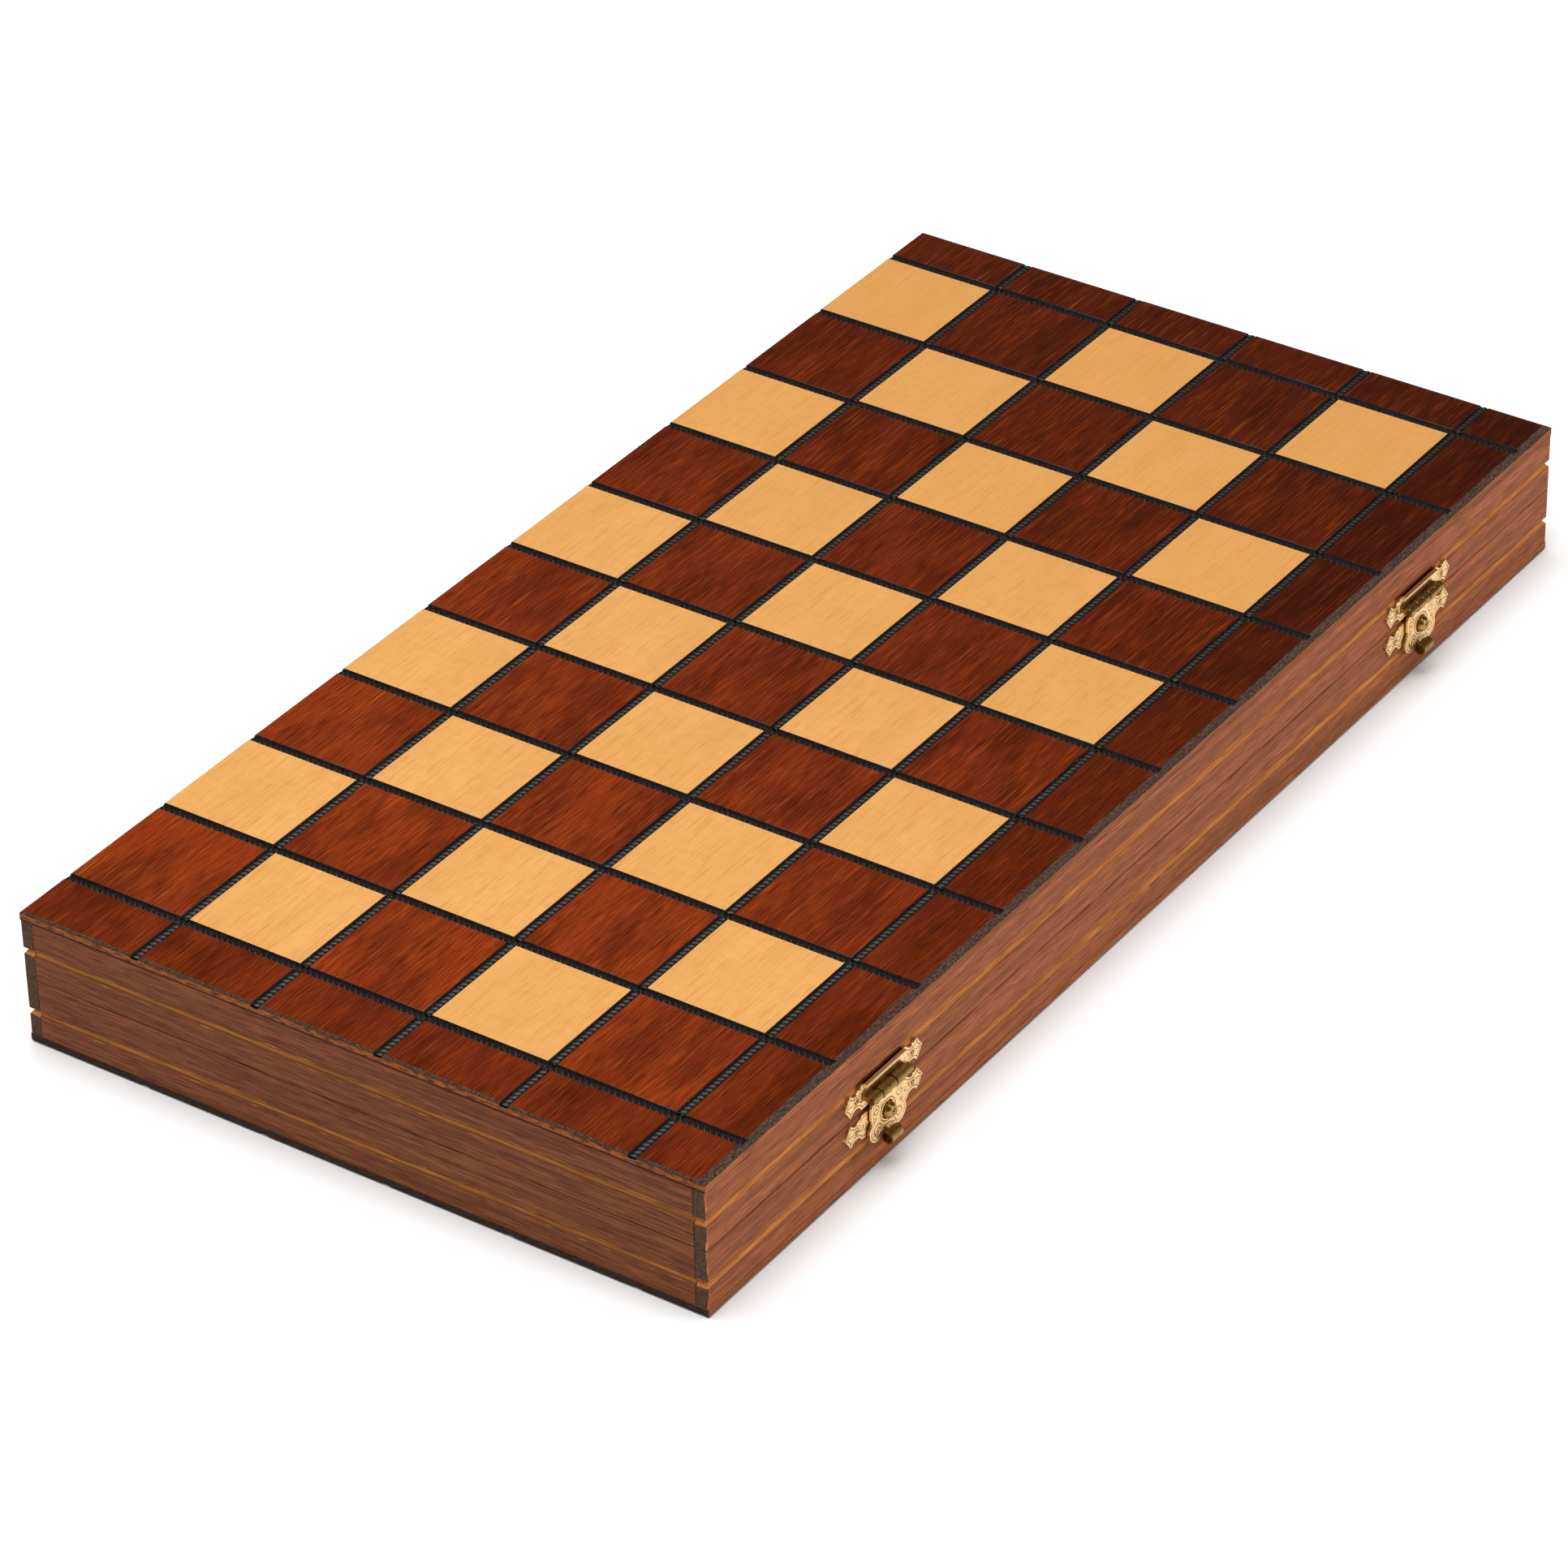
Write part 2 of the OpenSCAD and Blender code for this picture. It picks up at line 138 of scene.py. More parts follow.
class GAMECASE_PG_walls(bpy.types.PropertyGroup):
    """Sizes and colours of the walls."""

    ease: size_prop("Eased edge", "Radius of the eased edges", 0.28)
    corner: size_prop("Corner", "Radius of the upright corners", 0.4)
    stain: colour_prop("Wall stain", "Stained face of the long walls", "#995833")
    # darker than the long walls' stain: painted shade for the short walls, which face away from the light
    stain_short: colour_prop("Short wall stain, painted shade", "Stained face of the short walls", "#774327")
    cut_wood: colour_prop("Cut wood", "Bare wood in the V grooves", "#d68a45")


class GAMECASE_PG_brass(bpy.types.PropertyGroup):
    """Sizes and colours of the clasps and hinges."""

    relief: size_prop("Relief", "Depth of the stamped scrolls", 0.13)
    grid: size_prop("Relief grid", "Spacing of the points of the stamped faces", 0.14)
    sheet: colour_prop("Stamped brass", "Face of the clasp sheet", "#efc88e")
    # darker than the stamped sheet: painted shade for the barrels, tabs and curls
    rolled: colour_prop("Rolled brass", "Barrels, lips and finger curls", "#9a7840")
    patina: colour_prop("Patina", "Floor of the stamped lines", "#94693a")
    # darker than the stamped sheet: painted shade for the knobs, pins and screws
    turned: colour_prop("Turned brass", "Knobs, pins and screws", "#a8844a")


class GAMECASE_PG_play(bpy.types.PropertyGroup):
    """Sizes and colours of the men and the dice."""

    man_d: size_prop("Man diameter", "Diameter of a man", 29.0)
    man_t: size_prop("Man thickness", "Thickness of a man", 7.0)
    die_s: size_prop("Die", "Side of a die", 14.0)
    segments: IntProperty(name="Segments", description="Sides of a turned man", default=56, min=12)
    light: colour_prop("Light men", "Clear lacquered men", "#e2b878")
    dark: colour_prop("Dark men", "Stained men", "#4c2314")


class GAMECASE_PG_stage(bpy.types.PropertyGroup):
    """Light and floor of the stage."""

    floor: colour_prop("Floor", "Plain pale floor", "#ececec")
    top_light: power_prop("Top light", "Strength of the overhead softbox", 40.0)
    clasp_light: power_prop("Clasp side light", "Strength of the softbox by the clasps", 12.0)
    end_light: power_prop("End light", "Strength of the softbox at the left end", 1.5)


# ---- meshes ----


def linked(name, data):
    """A new object in the scene."""
    made = bpy.data.objects.new(name, data)
    bpy.context.scene.collection.objects.link(made)
    return made


def add_piece(name, verts, faces, materials, indices=None):
    """A smooth mesh object of vertices in millimetres and faces with material numbers."""
    mesh = bpy.data.meshes.new(name)
    mesh.from_pydata((np.asarray(verts, float) * MM).tolist(), [], faces)
    for material in materials:
        mesh.materials.append(material)
    if indices is not None:
        mesh.polygons.foreach_set("material_index", np.asarray(indices, np.int32))
    mesh.polygons.foreach_set("use_smooth", np.ones(len(faces), bool))
    mesh.validate()
    mesh.update()
    return linked(name, mesh)


def place(piece, body, slot, *replaced):
    """Puts a piece on its body and hides the frame nodes that it replaces."""
    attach(piece, body)
    if replaced:
        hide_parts(*replaced)


class Shape:
    """Vertices, faces and material numbers of one piece, gathered part by part."""

    def __init__(self):
        self.verts = []
        self.faces = []
        self.indices = []

    def add(self, verts, faces, index=0):
        """Adds a part with its own vertex numbers."""
        start = len(self.verts)
        self.verts.extend(tuple(v) for v in np.asarray(verts, float))
        self.faces.extend([tuple(int(i) + start for i in face) for face in faces])
        self.indices.extend([index] * len(faces) if np.isscalar(index) else list(index))

    def piece(self, name, materials, crisp=180):
        """The finished object, welded, with edges steeper than crisp degrees kept crisp."""
        made = add_piece(name, self.verts, self.faces, materials, self.indices)
        bm = bmesh.new()
        bm.from_mesh(made.data)
        bmesh.ops.remove_doubles(bm, verts=bm.verts, dist=1e-7)
        bmesh.ops.recalc_face_normals(bm, faces=bm.faces)
        for edge in bm.edges:
            is_seam = len(edge.link_faces) == 2
            edge.smooth = not is_seam or edge.calc_face_angle(0.0) < math.radians(crisp)
        bm.to_mesh(made.data)
        bm.free()
        return made


def grid_faces(rows, columns):
    """Faces of a grid of points that is numbered row by row."""
    corners = [r * columns + c for r in range(rows - 1) for c in range(columns - 1)]
    return [(a, a + columns, a + columns + 1, a + 1) for a in corners]


def turned(profile, steps, centre, axis):
    """Verts and faces of a closed or pointed profile of (along, radius) turned about an axis."""
    verts, faces = [], []
    count = len(profile)
    for s in range(steps):
        turn = 2 * math.pi * s / steps
        for along, radius in profile:
            a, b = radius * math.cos(turn), radius * math.sin(turn)
            offset = {"X": (along, a, b), "Y": (a, -along, b), "Z": (a, b, along)}[axis]
            verts.append(np.add(centre, offset))
    for s in range(steps):
        for i in range(count - 1):
            a, b = s * count + i, ((s + 1) % steps) * count + i
            faces.append((a, b, b + 1, a + 1))
    return verts, faces


def ring_profile(x0, x1, outer, inner, chamfer):
    """Closed section of a tube with chamfered ends."""
    rim = outer - chamfer
    outside = [(x0, rim), (x0 + chamfer, outer), (x1 - chamfer, outer), (x1, rim)]
    return [(x0, inner), *outside, (x1, inner), (x0, inner)]


def extruded(section, x0, x1):
    """Verts and faces of a (y, z) section run along X, closed at both ends."""
    n = len(section)
    verts = [(x, y, z) for x in (x0, x1) for y, z in section]
    faces = [(i, (i + 1) % n, n + (i + 1) % n, n + i) for i in range(n)]
    faces += [tuple(range(n)), tuple(range(2 * n - 1, n - 1, -1))]
    return verts, faces


# ---- materials ----


def node(tree, kind, inputs=None, **settings):
    """Adds a shader node with its settings and its linked or set inputs."""
    made = tree.nodes.new("ShaderNode" + kind)
    for key, value in settings.items():
        setattr(made, key, value)
    for key, value in (inputs or {}).items():
        socket = made.inputs[key]
        if isinstance(value, bpy.types.NodeSocket):
            tree.links.new(value, socket)
        else:
            socket.default_value = rgba(value[:3]) if socket.type == "RGBA" else value
    return made


def new_material(name, **shader):
    """A material with its tree and shader, with uniform values set on the shader's sockets."""
    material = bpy.data.materials.new(name)
    material.use_nodes = True
    tree = material.node_tree
    bsdf = tree.nodes["Principled BSDF"]
    for key, value in shader.items():
        bsdf.inputs[key.replace("_", " ")].default_value = value
    return material, tree, bsdf


def streaks(tree, along, across, grain="X", detail=3.0, shift=0.0):
    """Noise stretched along the grain: a streak is about along by across millimetres."""
    where = node(tree, "TexCoord").outputs["Object"]
    spread = [1 / (across * MM)] * 3
    spread["XYZ".index(grain)] = 1 / (along * MM)
    laid_out = {"Vector": where, "Location": (shift, shift, shift), "Scale": tuple(spread)}
    mapped = node(tree, "Mapping", laid_out).outputs["Vector"]
    shape = {"Vector": mapped, "Scale": 1.0, "Detail": detail, "Roughness": 0.55}
    return node(tree, "TexNoise", shape).outputs["Fac"]


def laid(tree, under, over, pattern, low, high, least=0.0, most=1.0):
    """A colour laid over another where a pattern rises from low to high."""
    rise = {"Value": pattern, "From Min": low, "From Max": high, "To Min": least, "To Max": most}
    share = node(tree, "MapRange", rise, interpolation_type="SMOOTHSTEP").outputs["Result"]
    both = node(tree, "Mix", {0: share}, data_type="RGBA")
    for index, colour in ((6, under), (7, over)):
        if isinstance(colour, bpy.types.NodeSocket):
            tree.links.new(colour, both.inputs[index])
        else:
            both.inputs[index].default_value = rgba(colour)
    return both.outputs[2]


def scaled(colour, factor):
    """A colour made lighter or darker."""
    return tuple(min(1.0, c * factor) for c in colour)


def dressed(tree, bsdf, tone, height, depth_mm):
    """Gives a shader its colour and its fine relief."""
    tree.links.new(tone, bsdf.inputs["Base Color"])
    relief = node(tree, "Bump", {"Height": height, "Distance": depth_mm * MM})
    tree.links.new(relief.outputs["Normal"], bsdf.inputs["Normal"])


def point(tree):
    """The X, Y and Z of the shaded point in the frame at rest, in metres."""
    where = node(tree, "TexCoord").outputs["Object"]
    return node(tree, "SeparateXYZ", {"Vector": where}).outputs


def painted_falloff_along(tree):
    """Place along the board from the left end to the right, in metres from the middle; it steers the
    painted light falloff of the boards.
    """
    at = point(tree)
    slope = node(tree, "Math", {0: at["Y"], 1: -0.45, 2: at["X"]}, operation="MULTIPLY_ADD")
    return slope.outputs["Value"]


def birch_ply_lacquered(name, settings):
    """Rotary-cut birch ply, sanded and clear lacquered.

    Warm yellow with fine growth lines along X, a faint cross ripple, a satin sheen, and
    painted shade that darkens it towards the right end.
    """
    base = tuple(settings.birch)
    material, tree, bsdf = new_material(name, Roughness=0.2, IOR=1.5, Specular_IOR_Level=0.1)
    lines = streaks(tree, 9.0, 0.4, detail=4.0)
    ripple = streaks(tree, 2.2, 5.0, detail=2.0, shift=3.1)
    clouds = streaks(tree, 45.0, 14.0, detail=3.0, shift=7.7)
    # painted shade: a darker birch laid towards the right end, for the light's falloff
    painted_far_shade = (base[0] * 0.84, base[1] * 0.8, base[2] * 0.78)
    dusky = (base[0] * 0.76, base[1] * 0.66, base[2] * 0.5)
    tone = laid(tree, base, painted_far_shade, painted_falloff_along(tree), -0.24, 0.24)
    tone = laid(tree, tone, dusky, clouds, 0.3, 0.7, 0.3, 0.0)
    tone = laid(tree, tone, dusky, ripple, 0.35, 0.7, 0.0, 0.2)
    tone = laid(tree, tone, dusky, lines, 0.48, 0.7, 0.0, 0.75)
    dressed(tree, bsdf, tone, lines, 0.008)
    return material


def stained_birch_ply(name, settings, strength):
    """Birch ply stained mahogany and lacquered.

    Deep red brown, cloudy where the stain sank in, with bright orange lines where the grain
    stayed closed; lighter at the left end and darker at the right, as painted light falloff.
    """
    material, tree, bsdf = new_material(name, Roughness=0.2, IOR=1.5, Specular_IOR_Level=0.08)
    # painted light falloff: the stain runs from the lighter colour at the left end to the darker at the
    # right
    near, far = scaled(settings.stain_painted_lit_end, strength), scaled(settings.stain_painted_shade_end, strength)
    clouds = streaks(tree, 34.0, 13.0, detail=4.0, shift=1.9)
    figure = streaks(tree, 12.0, 0.8, detail=5.0, shift=5.3)
    fine = streaks(tree, 8.0, 0.3, detail=3.0, shift=2.2)  # the pores are finer than this
    lines = streaks(tree, 30.0, 0.4, detail=2.5, shift=9.4)
    soaked_stain_and_painted_shade = linear("#200803")
    closed, pale = scaled(linear("#b04a12"), strength), scaled(linear("#d27420"), strength)
    tone = laid(tree, near, far, painted_falloff_along(tree), -0.24, 0.24)
    tone = laid(tree, tone, soaked_stain_and_painted_shade, clouds, 0.36, 0.66, 0.0, 0.45)
    tone = laid(tree, tone, closed, figure, 0.46, 0.78, 0.0, 0.34)
    tone = laid(tree, tone, pale, lines, 0.62, 0.76, 0.0, 0.4)
    tone = laid(tree, tone, soaked_stain_and_painted_shade, fine, 0.44, 0.66, 0.0, 0.62)
    # painted shade: a further darkening of the stain towards the right end
    tone = laid(tree, tone, soaked_stain_and_painted_shade, painted_falloff_along(tree), -0.14, 0.24, 0.0, 0.36)
    dressed(tree, bsdf, tone, fine, 0.006)
    return material


def charred_birch(name, settings):
    """Birch burnt black by a hot pressing wheel.

    Sooty black with a dull shine and ashy flecks on its high spots.
    """
    base = tuple(settings.burnt)
    material, tree, bsdf = new_material(name, Roughness=0.34, IOR=1.5, Specular_IOR_Level=0.3)
    soot = streaks(tree, 0.7, 0.7, detail=4.0)
    ash = streaks(tree, 1.1, 0.5, detail=3.0, shift=6.1)
    tone = laid(tree, base, scaled(base, 2.2), soot, 0.4, 0.75)
    tone = laid(tree, tone, linear("#857b6d"), ash, 0.62, 0.74, 0.0, 0.28)
    dressed(tree, bsdf, tone, soot, 0.05)
    return material


def scorched_edge(name):
    """Ply edge scorched and sanded back along the long rim.

    Rough grey-brown charcoal, broken by paler wood fibres.
    """
    material, tree, bsdf = new_material(name, Roughness=0.8, Specular_IOR_Level=0.08)
    fibres = streaks(tree, 1.0, 0.35, detail=5.0)
    patches = streaks(tree, 14.0, 3.0, detail=3.0, shift=4.2)
    tone = laid(tree, linear("#241a16"), linear("#5c4638"), fibres, 0.3, 0.75)
    tone = laid(tree, tone, linear("#33261e"), patches, 0.45, 0.75, 0.0, 0.6)
    dressed(tree, bsdf, tone, fibres, 0.25)
    return material


def lacquered_ply_edge(name):
    """Cut edge of the face ply under a run of lacquer.

    Glossy amber strip with dark end-grain dashes.
    """
    material, tree, bsdf = new_material(name, Roughness=0.25, IOR=1.5, Specular_IOR_Level=0.12)
    dashes = streaks(tree, 3.0, 0.8, grain="Y", detail=4.0)
    tone = laid(tree, linear("#93490b"), linear("#3d1c08"), dashes, 0.4, 0.66)
    dressed(tree, bsdf, tone, dashes, 0.08)
    return material


def core_ply_edge(name):
    """Cut edge of the core ply, stained with the walls.

    Dark grey-brown end grain.
    """
    material, tree, bsdf = new_material(name, Roughness=0.7, Specular_IOR_Level=0.08)
    dashes = streaks(tree, 1.6, 0.35, grain="Y", detail=4.0)
    tone = laid(tree, linear("#3d2b20"), linear("#231811"), dashes, 0.35, 0.7)
    dressed(tree, bsdf, tone, dashes, 0.1)
    return material


def stained_wall_wood(name, base, grain, groove_z, settings):
    """Planed alder, stained brown and left matt.

    Pink-brown with fine dark pore lines along the grain, broad tone bands, and pale fibres torn
    up beside the V groove.
    """
    material, tree, bsdf = new_material(name, Roughness=0.6, IOR=1.5, Specular_IOR_Level=0.1)
    bands = streaks(tree, 90.0, 2.0, grain, detail=5.0)
    pores = streaks(tree, 9.0, 0.28, grain, detail=3.0, shift=2.7)  # the pores are finer than this
    flecks = streaks(tree, 20.0, 0.45, grain, detail=3.0, shift=8.3)
    torn = streaks(tree, 5.0, 0.6, grain, detail=4.0, shift=6.6)
    dark = (base[0] * 0.45, base[1] * 0.38, base[2] * 0.42)
    tone = laid(tree, scaled(base, 0.74), scaled(base, 1.18), bands, 0.35, 0.65)
    tone = laid(tree, tone, scaled(base, 1.6), flecks, 0.54, 0.7, 0.0, 0.55)
    tone = laid(tree, tone, dark, pores, 0.44, 0.62, 0.0, 0.9)
    reach = node(tree, "Math", {0: groove_drop(tree, groove_z)}, operation="ABSOLUTE")
    for pattern, weight in ((outward(tree, grain), -1.0), (torn, -TORN_REACH * MM)):
        values = {0: pattern, 1: weight, 2: reach.outputs["Value"]}
        reach = node(tree, "Math", values, operation="MULTIPLY_ADD")
    tone = laid(tree, tone, settings.cut_wood, reach.outputs["Value"], 0.0, 0.35 * MM, 0.7, 0.0)
    dressed(tree, bsdf, tone, pores, 0.03)
    return material


def groove_drop(tree, groove_z):
    """How far below a groove's bottom line a point lies, in metres."""
    drop = node(tree, "Math", {0: groove_z * MM, 1: point(tree)["Z"]}, operation="SUBTRACT")
    return drop.outputs["Value"]


def outward(tree, grain):
    """How far outside a wall's outer face a point lies, in metres: negative inside the case."""
    axis, face = ("Y", CASE_Y) if grain == "X" else ("X", CASE_X)
    size = node(tree, "Math", {0: point(tree)[axis]}, operation="ABSOLUTE").outputs["Value"]
    return node(tree, "Math", {0: size, 1: face * MM}, operation="SUBTRACT").outputs["Value"]


def cut_groove_wood(name, settings, half, kind):
    """Alder cut by the V cutter after staining, then sealed.

    Golden orange with short torn fibres, fading into the stain at its lower lip; its upper flank,
    which faces down, is darkened as painted shade.
    """
    base = tuple(settings.cut_wood)
    grain = "X" if kind == "long" else "Y"
    material, tree, bsdf = new_material(name, Roughness=0.6, Specular_IOR_Level=0.15)
    fibres = streaks(tree, 9.0, 0.3, grain, detail=4.0)
    patches = streaks(tree, 22.0, 2.0, grain, detail=3.0, shift=3.3)
    below = groove_drop(tree, VEE_Z[half])
    ragged = node(tree, "Math", {0: fibres, 1: -0.8 * MM, 2: below}, operation="MULTIPLY_ADD")
    # on the short walls this stain carries their painted shade
    stain = scaled(settings.stain if kind == "long" else settings.stain_short, 0.8)
    lip = 0.66 if kind == "long" else 0.34
    shade = (base[0] * 0.55, base[1] * 0.46, base[2] * 0.4)
    tone = laid(tree, scaled(base, 1.1), shade, fibres, 0.36, 0.7)
    tone = laid(tree, tone, shade, patches, 0.42, 0.68, 0.0, 0.7)
    tone = laid(tree, tone, stain, ragged.outputs["Value"], (lip - 0.4) * MM, lip * MM)
    # painted shade: the upper flank, which faces down, takes a darkened stain
    tone = laid(tree, tone, scaled(stain, 0.75), below, -0.05 * MM, 0.12 * MM, 1.0, 0.0)
    dressed(tree, bsdf, tone, fibres, 0.1)
    return material


def end_grain_wood(name):
    """Sawn end of a long wall, stained dark where the end grain drank the stain.

    Grey-brown and mottled, with fine pale saw marks.
    """
    material, tree, bsdf = new_material(name, Roughness=0.7, Specular_IOR_Level=0.05)
    mottle = streaks(tree, 0.6, 0.6, detail=4.0)
    saw = streaks(tree, 3.0, 0.25, grain="Y", detail=2.0, shift=4.0)
    tone = laid(tree, linear("#5a4232"), linear("#3d2c20"), mottle, 0.35, 0.7)
    tone = laid(tree, tone, linear("#634a3c"), saw, 0.6, 0.8, 0.0, 0.35)
    dressed(tree, bsdf, tone, mottle, 0.08)
    return material


def rubbed_arris_wood(name):
    """Arris rubbed through its stain by handling.

    Bright orange-brown line, broken along its length.
    """
    material, tree, bsdf = new_material(name, Roughness=0.5, Specular_IOR_Level=0.3)
    patches = streaks(tree, 2.5, 2.5, detail=4.0)
    tone = laid(tree, linear("#c07436"), linear("#7e4524"), patches, 0.4, 0.65)
    dressed(tree, bsdf, tone, patches, 0.02)
    return material


def brass_metal(name, base, roughness, wear):
    """Brass, stamped, rolled or turned, with thin clear lacquer gone dull in places.

    Pale gold where it faces the light, olive where it faces the dark, with faint rub marks.
    """
    material, tree, bsdf = new_material(name, Metallic=1.0)
    dull = streaks(tree, 3.0, 3.0, detail=4.0)
    rub = streaks(tree, 2.0, 0.2, detail=3.0, shift=2.0)
    rise = {"From Min": 0.3, "From Max": 0.8, "To Min": roughness * 0.85, "To Max": roughness * 1.35}
    gloss = node(tree, "MapRange", {"Value": dull, **rise})
    tree.links.new(gloss.outputs["Result"], bsdf.inputs["Roughness"])
    tone = laid(tree, base, scaled(base, 0.55), dull, 0.4, 0.75, 0.0, wear)
    dressed(tree, bsdf, tone, rub, 0.008)
    return material


def turned_wood(name, base):
    """Hornbeam turned on a lathe and lacquered.

    Straight fine grain across each man, with faint darker growth lines.
    """
    material, tree, bsdf = new_material(name, Roughness=0.35, IOR=1.5, Specular_IOR_Level=0.4)
    lines = streaks(tree, 30.0, 0.8, "Y", detail=4.0)
    flecks = streaks(tree, 3.0, 0.3, "Y", detail=2.0, shift=3.0)
    tone = laid(tree, scaled(base, 1.08), scaled(base, 0.72), lines, 0.35, 0.7)
    tone = laid(tree, tone, scaled(base, 0.55), flecks, 0.6, 0.8, 0.0, 0.4)
    dressed(tree, bsdf, tone, lines, 0.04)
    return material


def moulded_plastic(name, base, roughness):
    """Cast resin, tumbled smooth.

    Even, faintly clouded, with a soft gloss.
    """
    material, tree, bsdf = new_material(name, Roughness=roughness, IOR=1.5)
    clouds = streaks(tree, 4.0, 4.0, detail=3.0)
    tone = laid(tree, base, scaled(base, 0.9), clouds, 0.3, 0.7)
    dressed(tree, bsdf, tone, clouds, 0.02)
    return material


def stained_field_ply(name):
    """Birch ply of the playing field, wiped with thin walnut stain.

    Soft tan brown between the points.
    """
    material, tree, bsdf = new_material(name, Roughness=0.45, Specular_IOR_Level=0.25)
    lines = streaks(tree, 26.0, 0.6, detail=4.0, shift=4.4)
    clouds = streaks(tree, 40.0, 16.0, detail=3.0, shift=2.1)
    tone = laid(tree, linear("#ae7039"), linear("#a16535"), clouds, 0.3, 0.7)
    tone = laid(tree, tone, linear("#74421f"), lines, 0.5, 0.78, 0.0, 0.6)
    dressed(tree, bsdf, tone, lines, 0.03)
    return material


def shared(name, build, *values):
    """The material of that name, built once."""
    return bpy.data.materials.get(name) or build(name, *values)


# ---- boards ----


def line_places(settings):
    """X of the crosswise lines and Y of the long lines, in millimetres."""
    square, end, hinge = settings.square / MM, settings.border_end / MM, settings.border_hinge / MM
    cross = [-CASE_X + end + square * i for i in range(int((2 * CASE_X - end) / square) + 1)]
    long = [CASE_Y - hinge - square * i for i in range(int((2 * CASE_Y - hinge) / square) + 1)]
    return [x for x in cross if x < CASE_X - 5], [y for y in long if y > -CASE_Y + 5]


GROOVE_STEPS = ((1.0, 0.0), (0.94, 0.1), (0.86, 0.45), (0.76, 0.86), (0.66, 1.0))
EDGE_EASE = ((0.0, 0.42), (0.12, 0.2), (0.3, 0.06), (0.5, 0.0))
SCORCH_W = 2.4
END_LINE_W = 0.9
FADE_L = 0.35  # run-out of a crosswise line at the plain strip
SCORE_W, SCORE_D = 0.8, 0.3  # scored outline of a point
CORE_T = PANEL_T * 0.2  # part of the edge that shows core ply


def groove_depth(values, centres, half, depth):
    """Depth of the pressed grooves at each value."""
    shares = [s for s, _ in GROOVE_STEPS][::-1]
    depths = [d * depth for _, d in GROOVE_STEPS][::-1]
    off = np.min(np.abs(np.subtract.outer(values, centres)), axis=1) / half
    return np.interp(off, shares, depths)


def grid_lines(half_side, centres, half, extra):
    """Sorted grid values that follow the eased edges and the groove shoulders."""
    values = list(extra)
    for inset, _ in EDGE_EASE:
        values += [-half_side + inset, half_side - inset]
    for c in centres:
        values += [c + s * share * half for share, _ in GROOVE_STEPS for s in (-1, 1)]
    return np.array(sorted(set(round(v, 4) for v in values if abs(v) <= half_side)))


def point_triangles(settings):
    """The twelve points of one half field as three corner points each, in millimetres."""
    inner_x, inner_y = CASE_X - WALL_T, CASE_Y - WALL_T
    length, gap = settings.point_l / MM, 0.8
    pitch = 2 * inner_y / 6
    half = (pitch - gap) / 2
    out = []
    for side in (-1, 1):
        for i in range(6):
            y = (i - 2.5) * pitch
            x0 = side * (inner_x - gap)
            out.append(((x0, y - half), (x0 - side * length, y), (x0, y + half)))
    return out


def inset_triangle(triangle, by):
    """A triangle with its sides moved inwards by a distance."""
    a, b, c = (np.array(p) for p in triangle)
    la, lb, lc = np.linalg.norm(b - c), np.linalg.norm(c - a), np.linalg.norm(a - b)
    centre = (la * a + lb * b + lc * c) / (la + lb + lc)
    area = abs((b - a)[0] * (c - a)[1] - (b - a)[1] * (c - a)[0]) / 2
    radius = 2 * area / (la + lb + lc)
    return [tuple(centre + (p - centre) * (1 - by / radius)) for p in (a, b, c)]


def outer_material(x, y, cross, long, line_half, stop_y, light_parity):
    """Material number of the outer face: charred line, scorched rim, light or stained ply."""
    row = sum(x > c for c in cross)
    column = sum(y < c for c in long)
    in_cross = min(abs(x - c) for c in cross) < line_half
    in_long = min(abs(y - c) for c in long) < line_half
    if in_long or (in_cross and y > stop_y):
        return 2
    if y < -CASE_Y + SCORCH_W or abs(x) > CASE_X - END_LINE_W:
        return 3
    if 0 < row < len(cross) and column < len(long) and (row + column) % 2 == light_parity:
        return 0
    return 1 if row and column < len(long) else 8


def inner_material(x, y, triangles):
    """Material number of the inner face: field, scored outline, light or dark point."""
    for number, triangle in enumerate(triangles):
        if inside_triangle(x, y, triangle):
            if not inside_triangle(x, y, inset_triangle(triangle, SCORE_W)):
                return 2
            return 0 if (number % 6 + number // 6) % 2 == 0 else 1
    return 7


def inside_triangle(x, y, triangle):
    """True if (x, y) lies in the triangle."""
    signs = []
    for k in range(3):
        ax, ay = triangle[k]
        bx, by = triangle[(k + 1) % 3]
        signs.append((bx - ax) * (y - ay) - (by - ay) * (x - ax) > 0)
    return all(signs) or not any(signs)


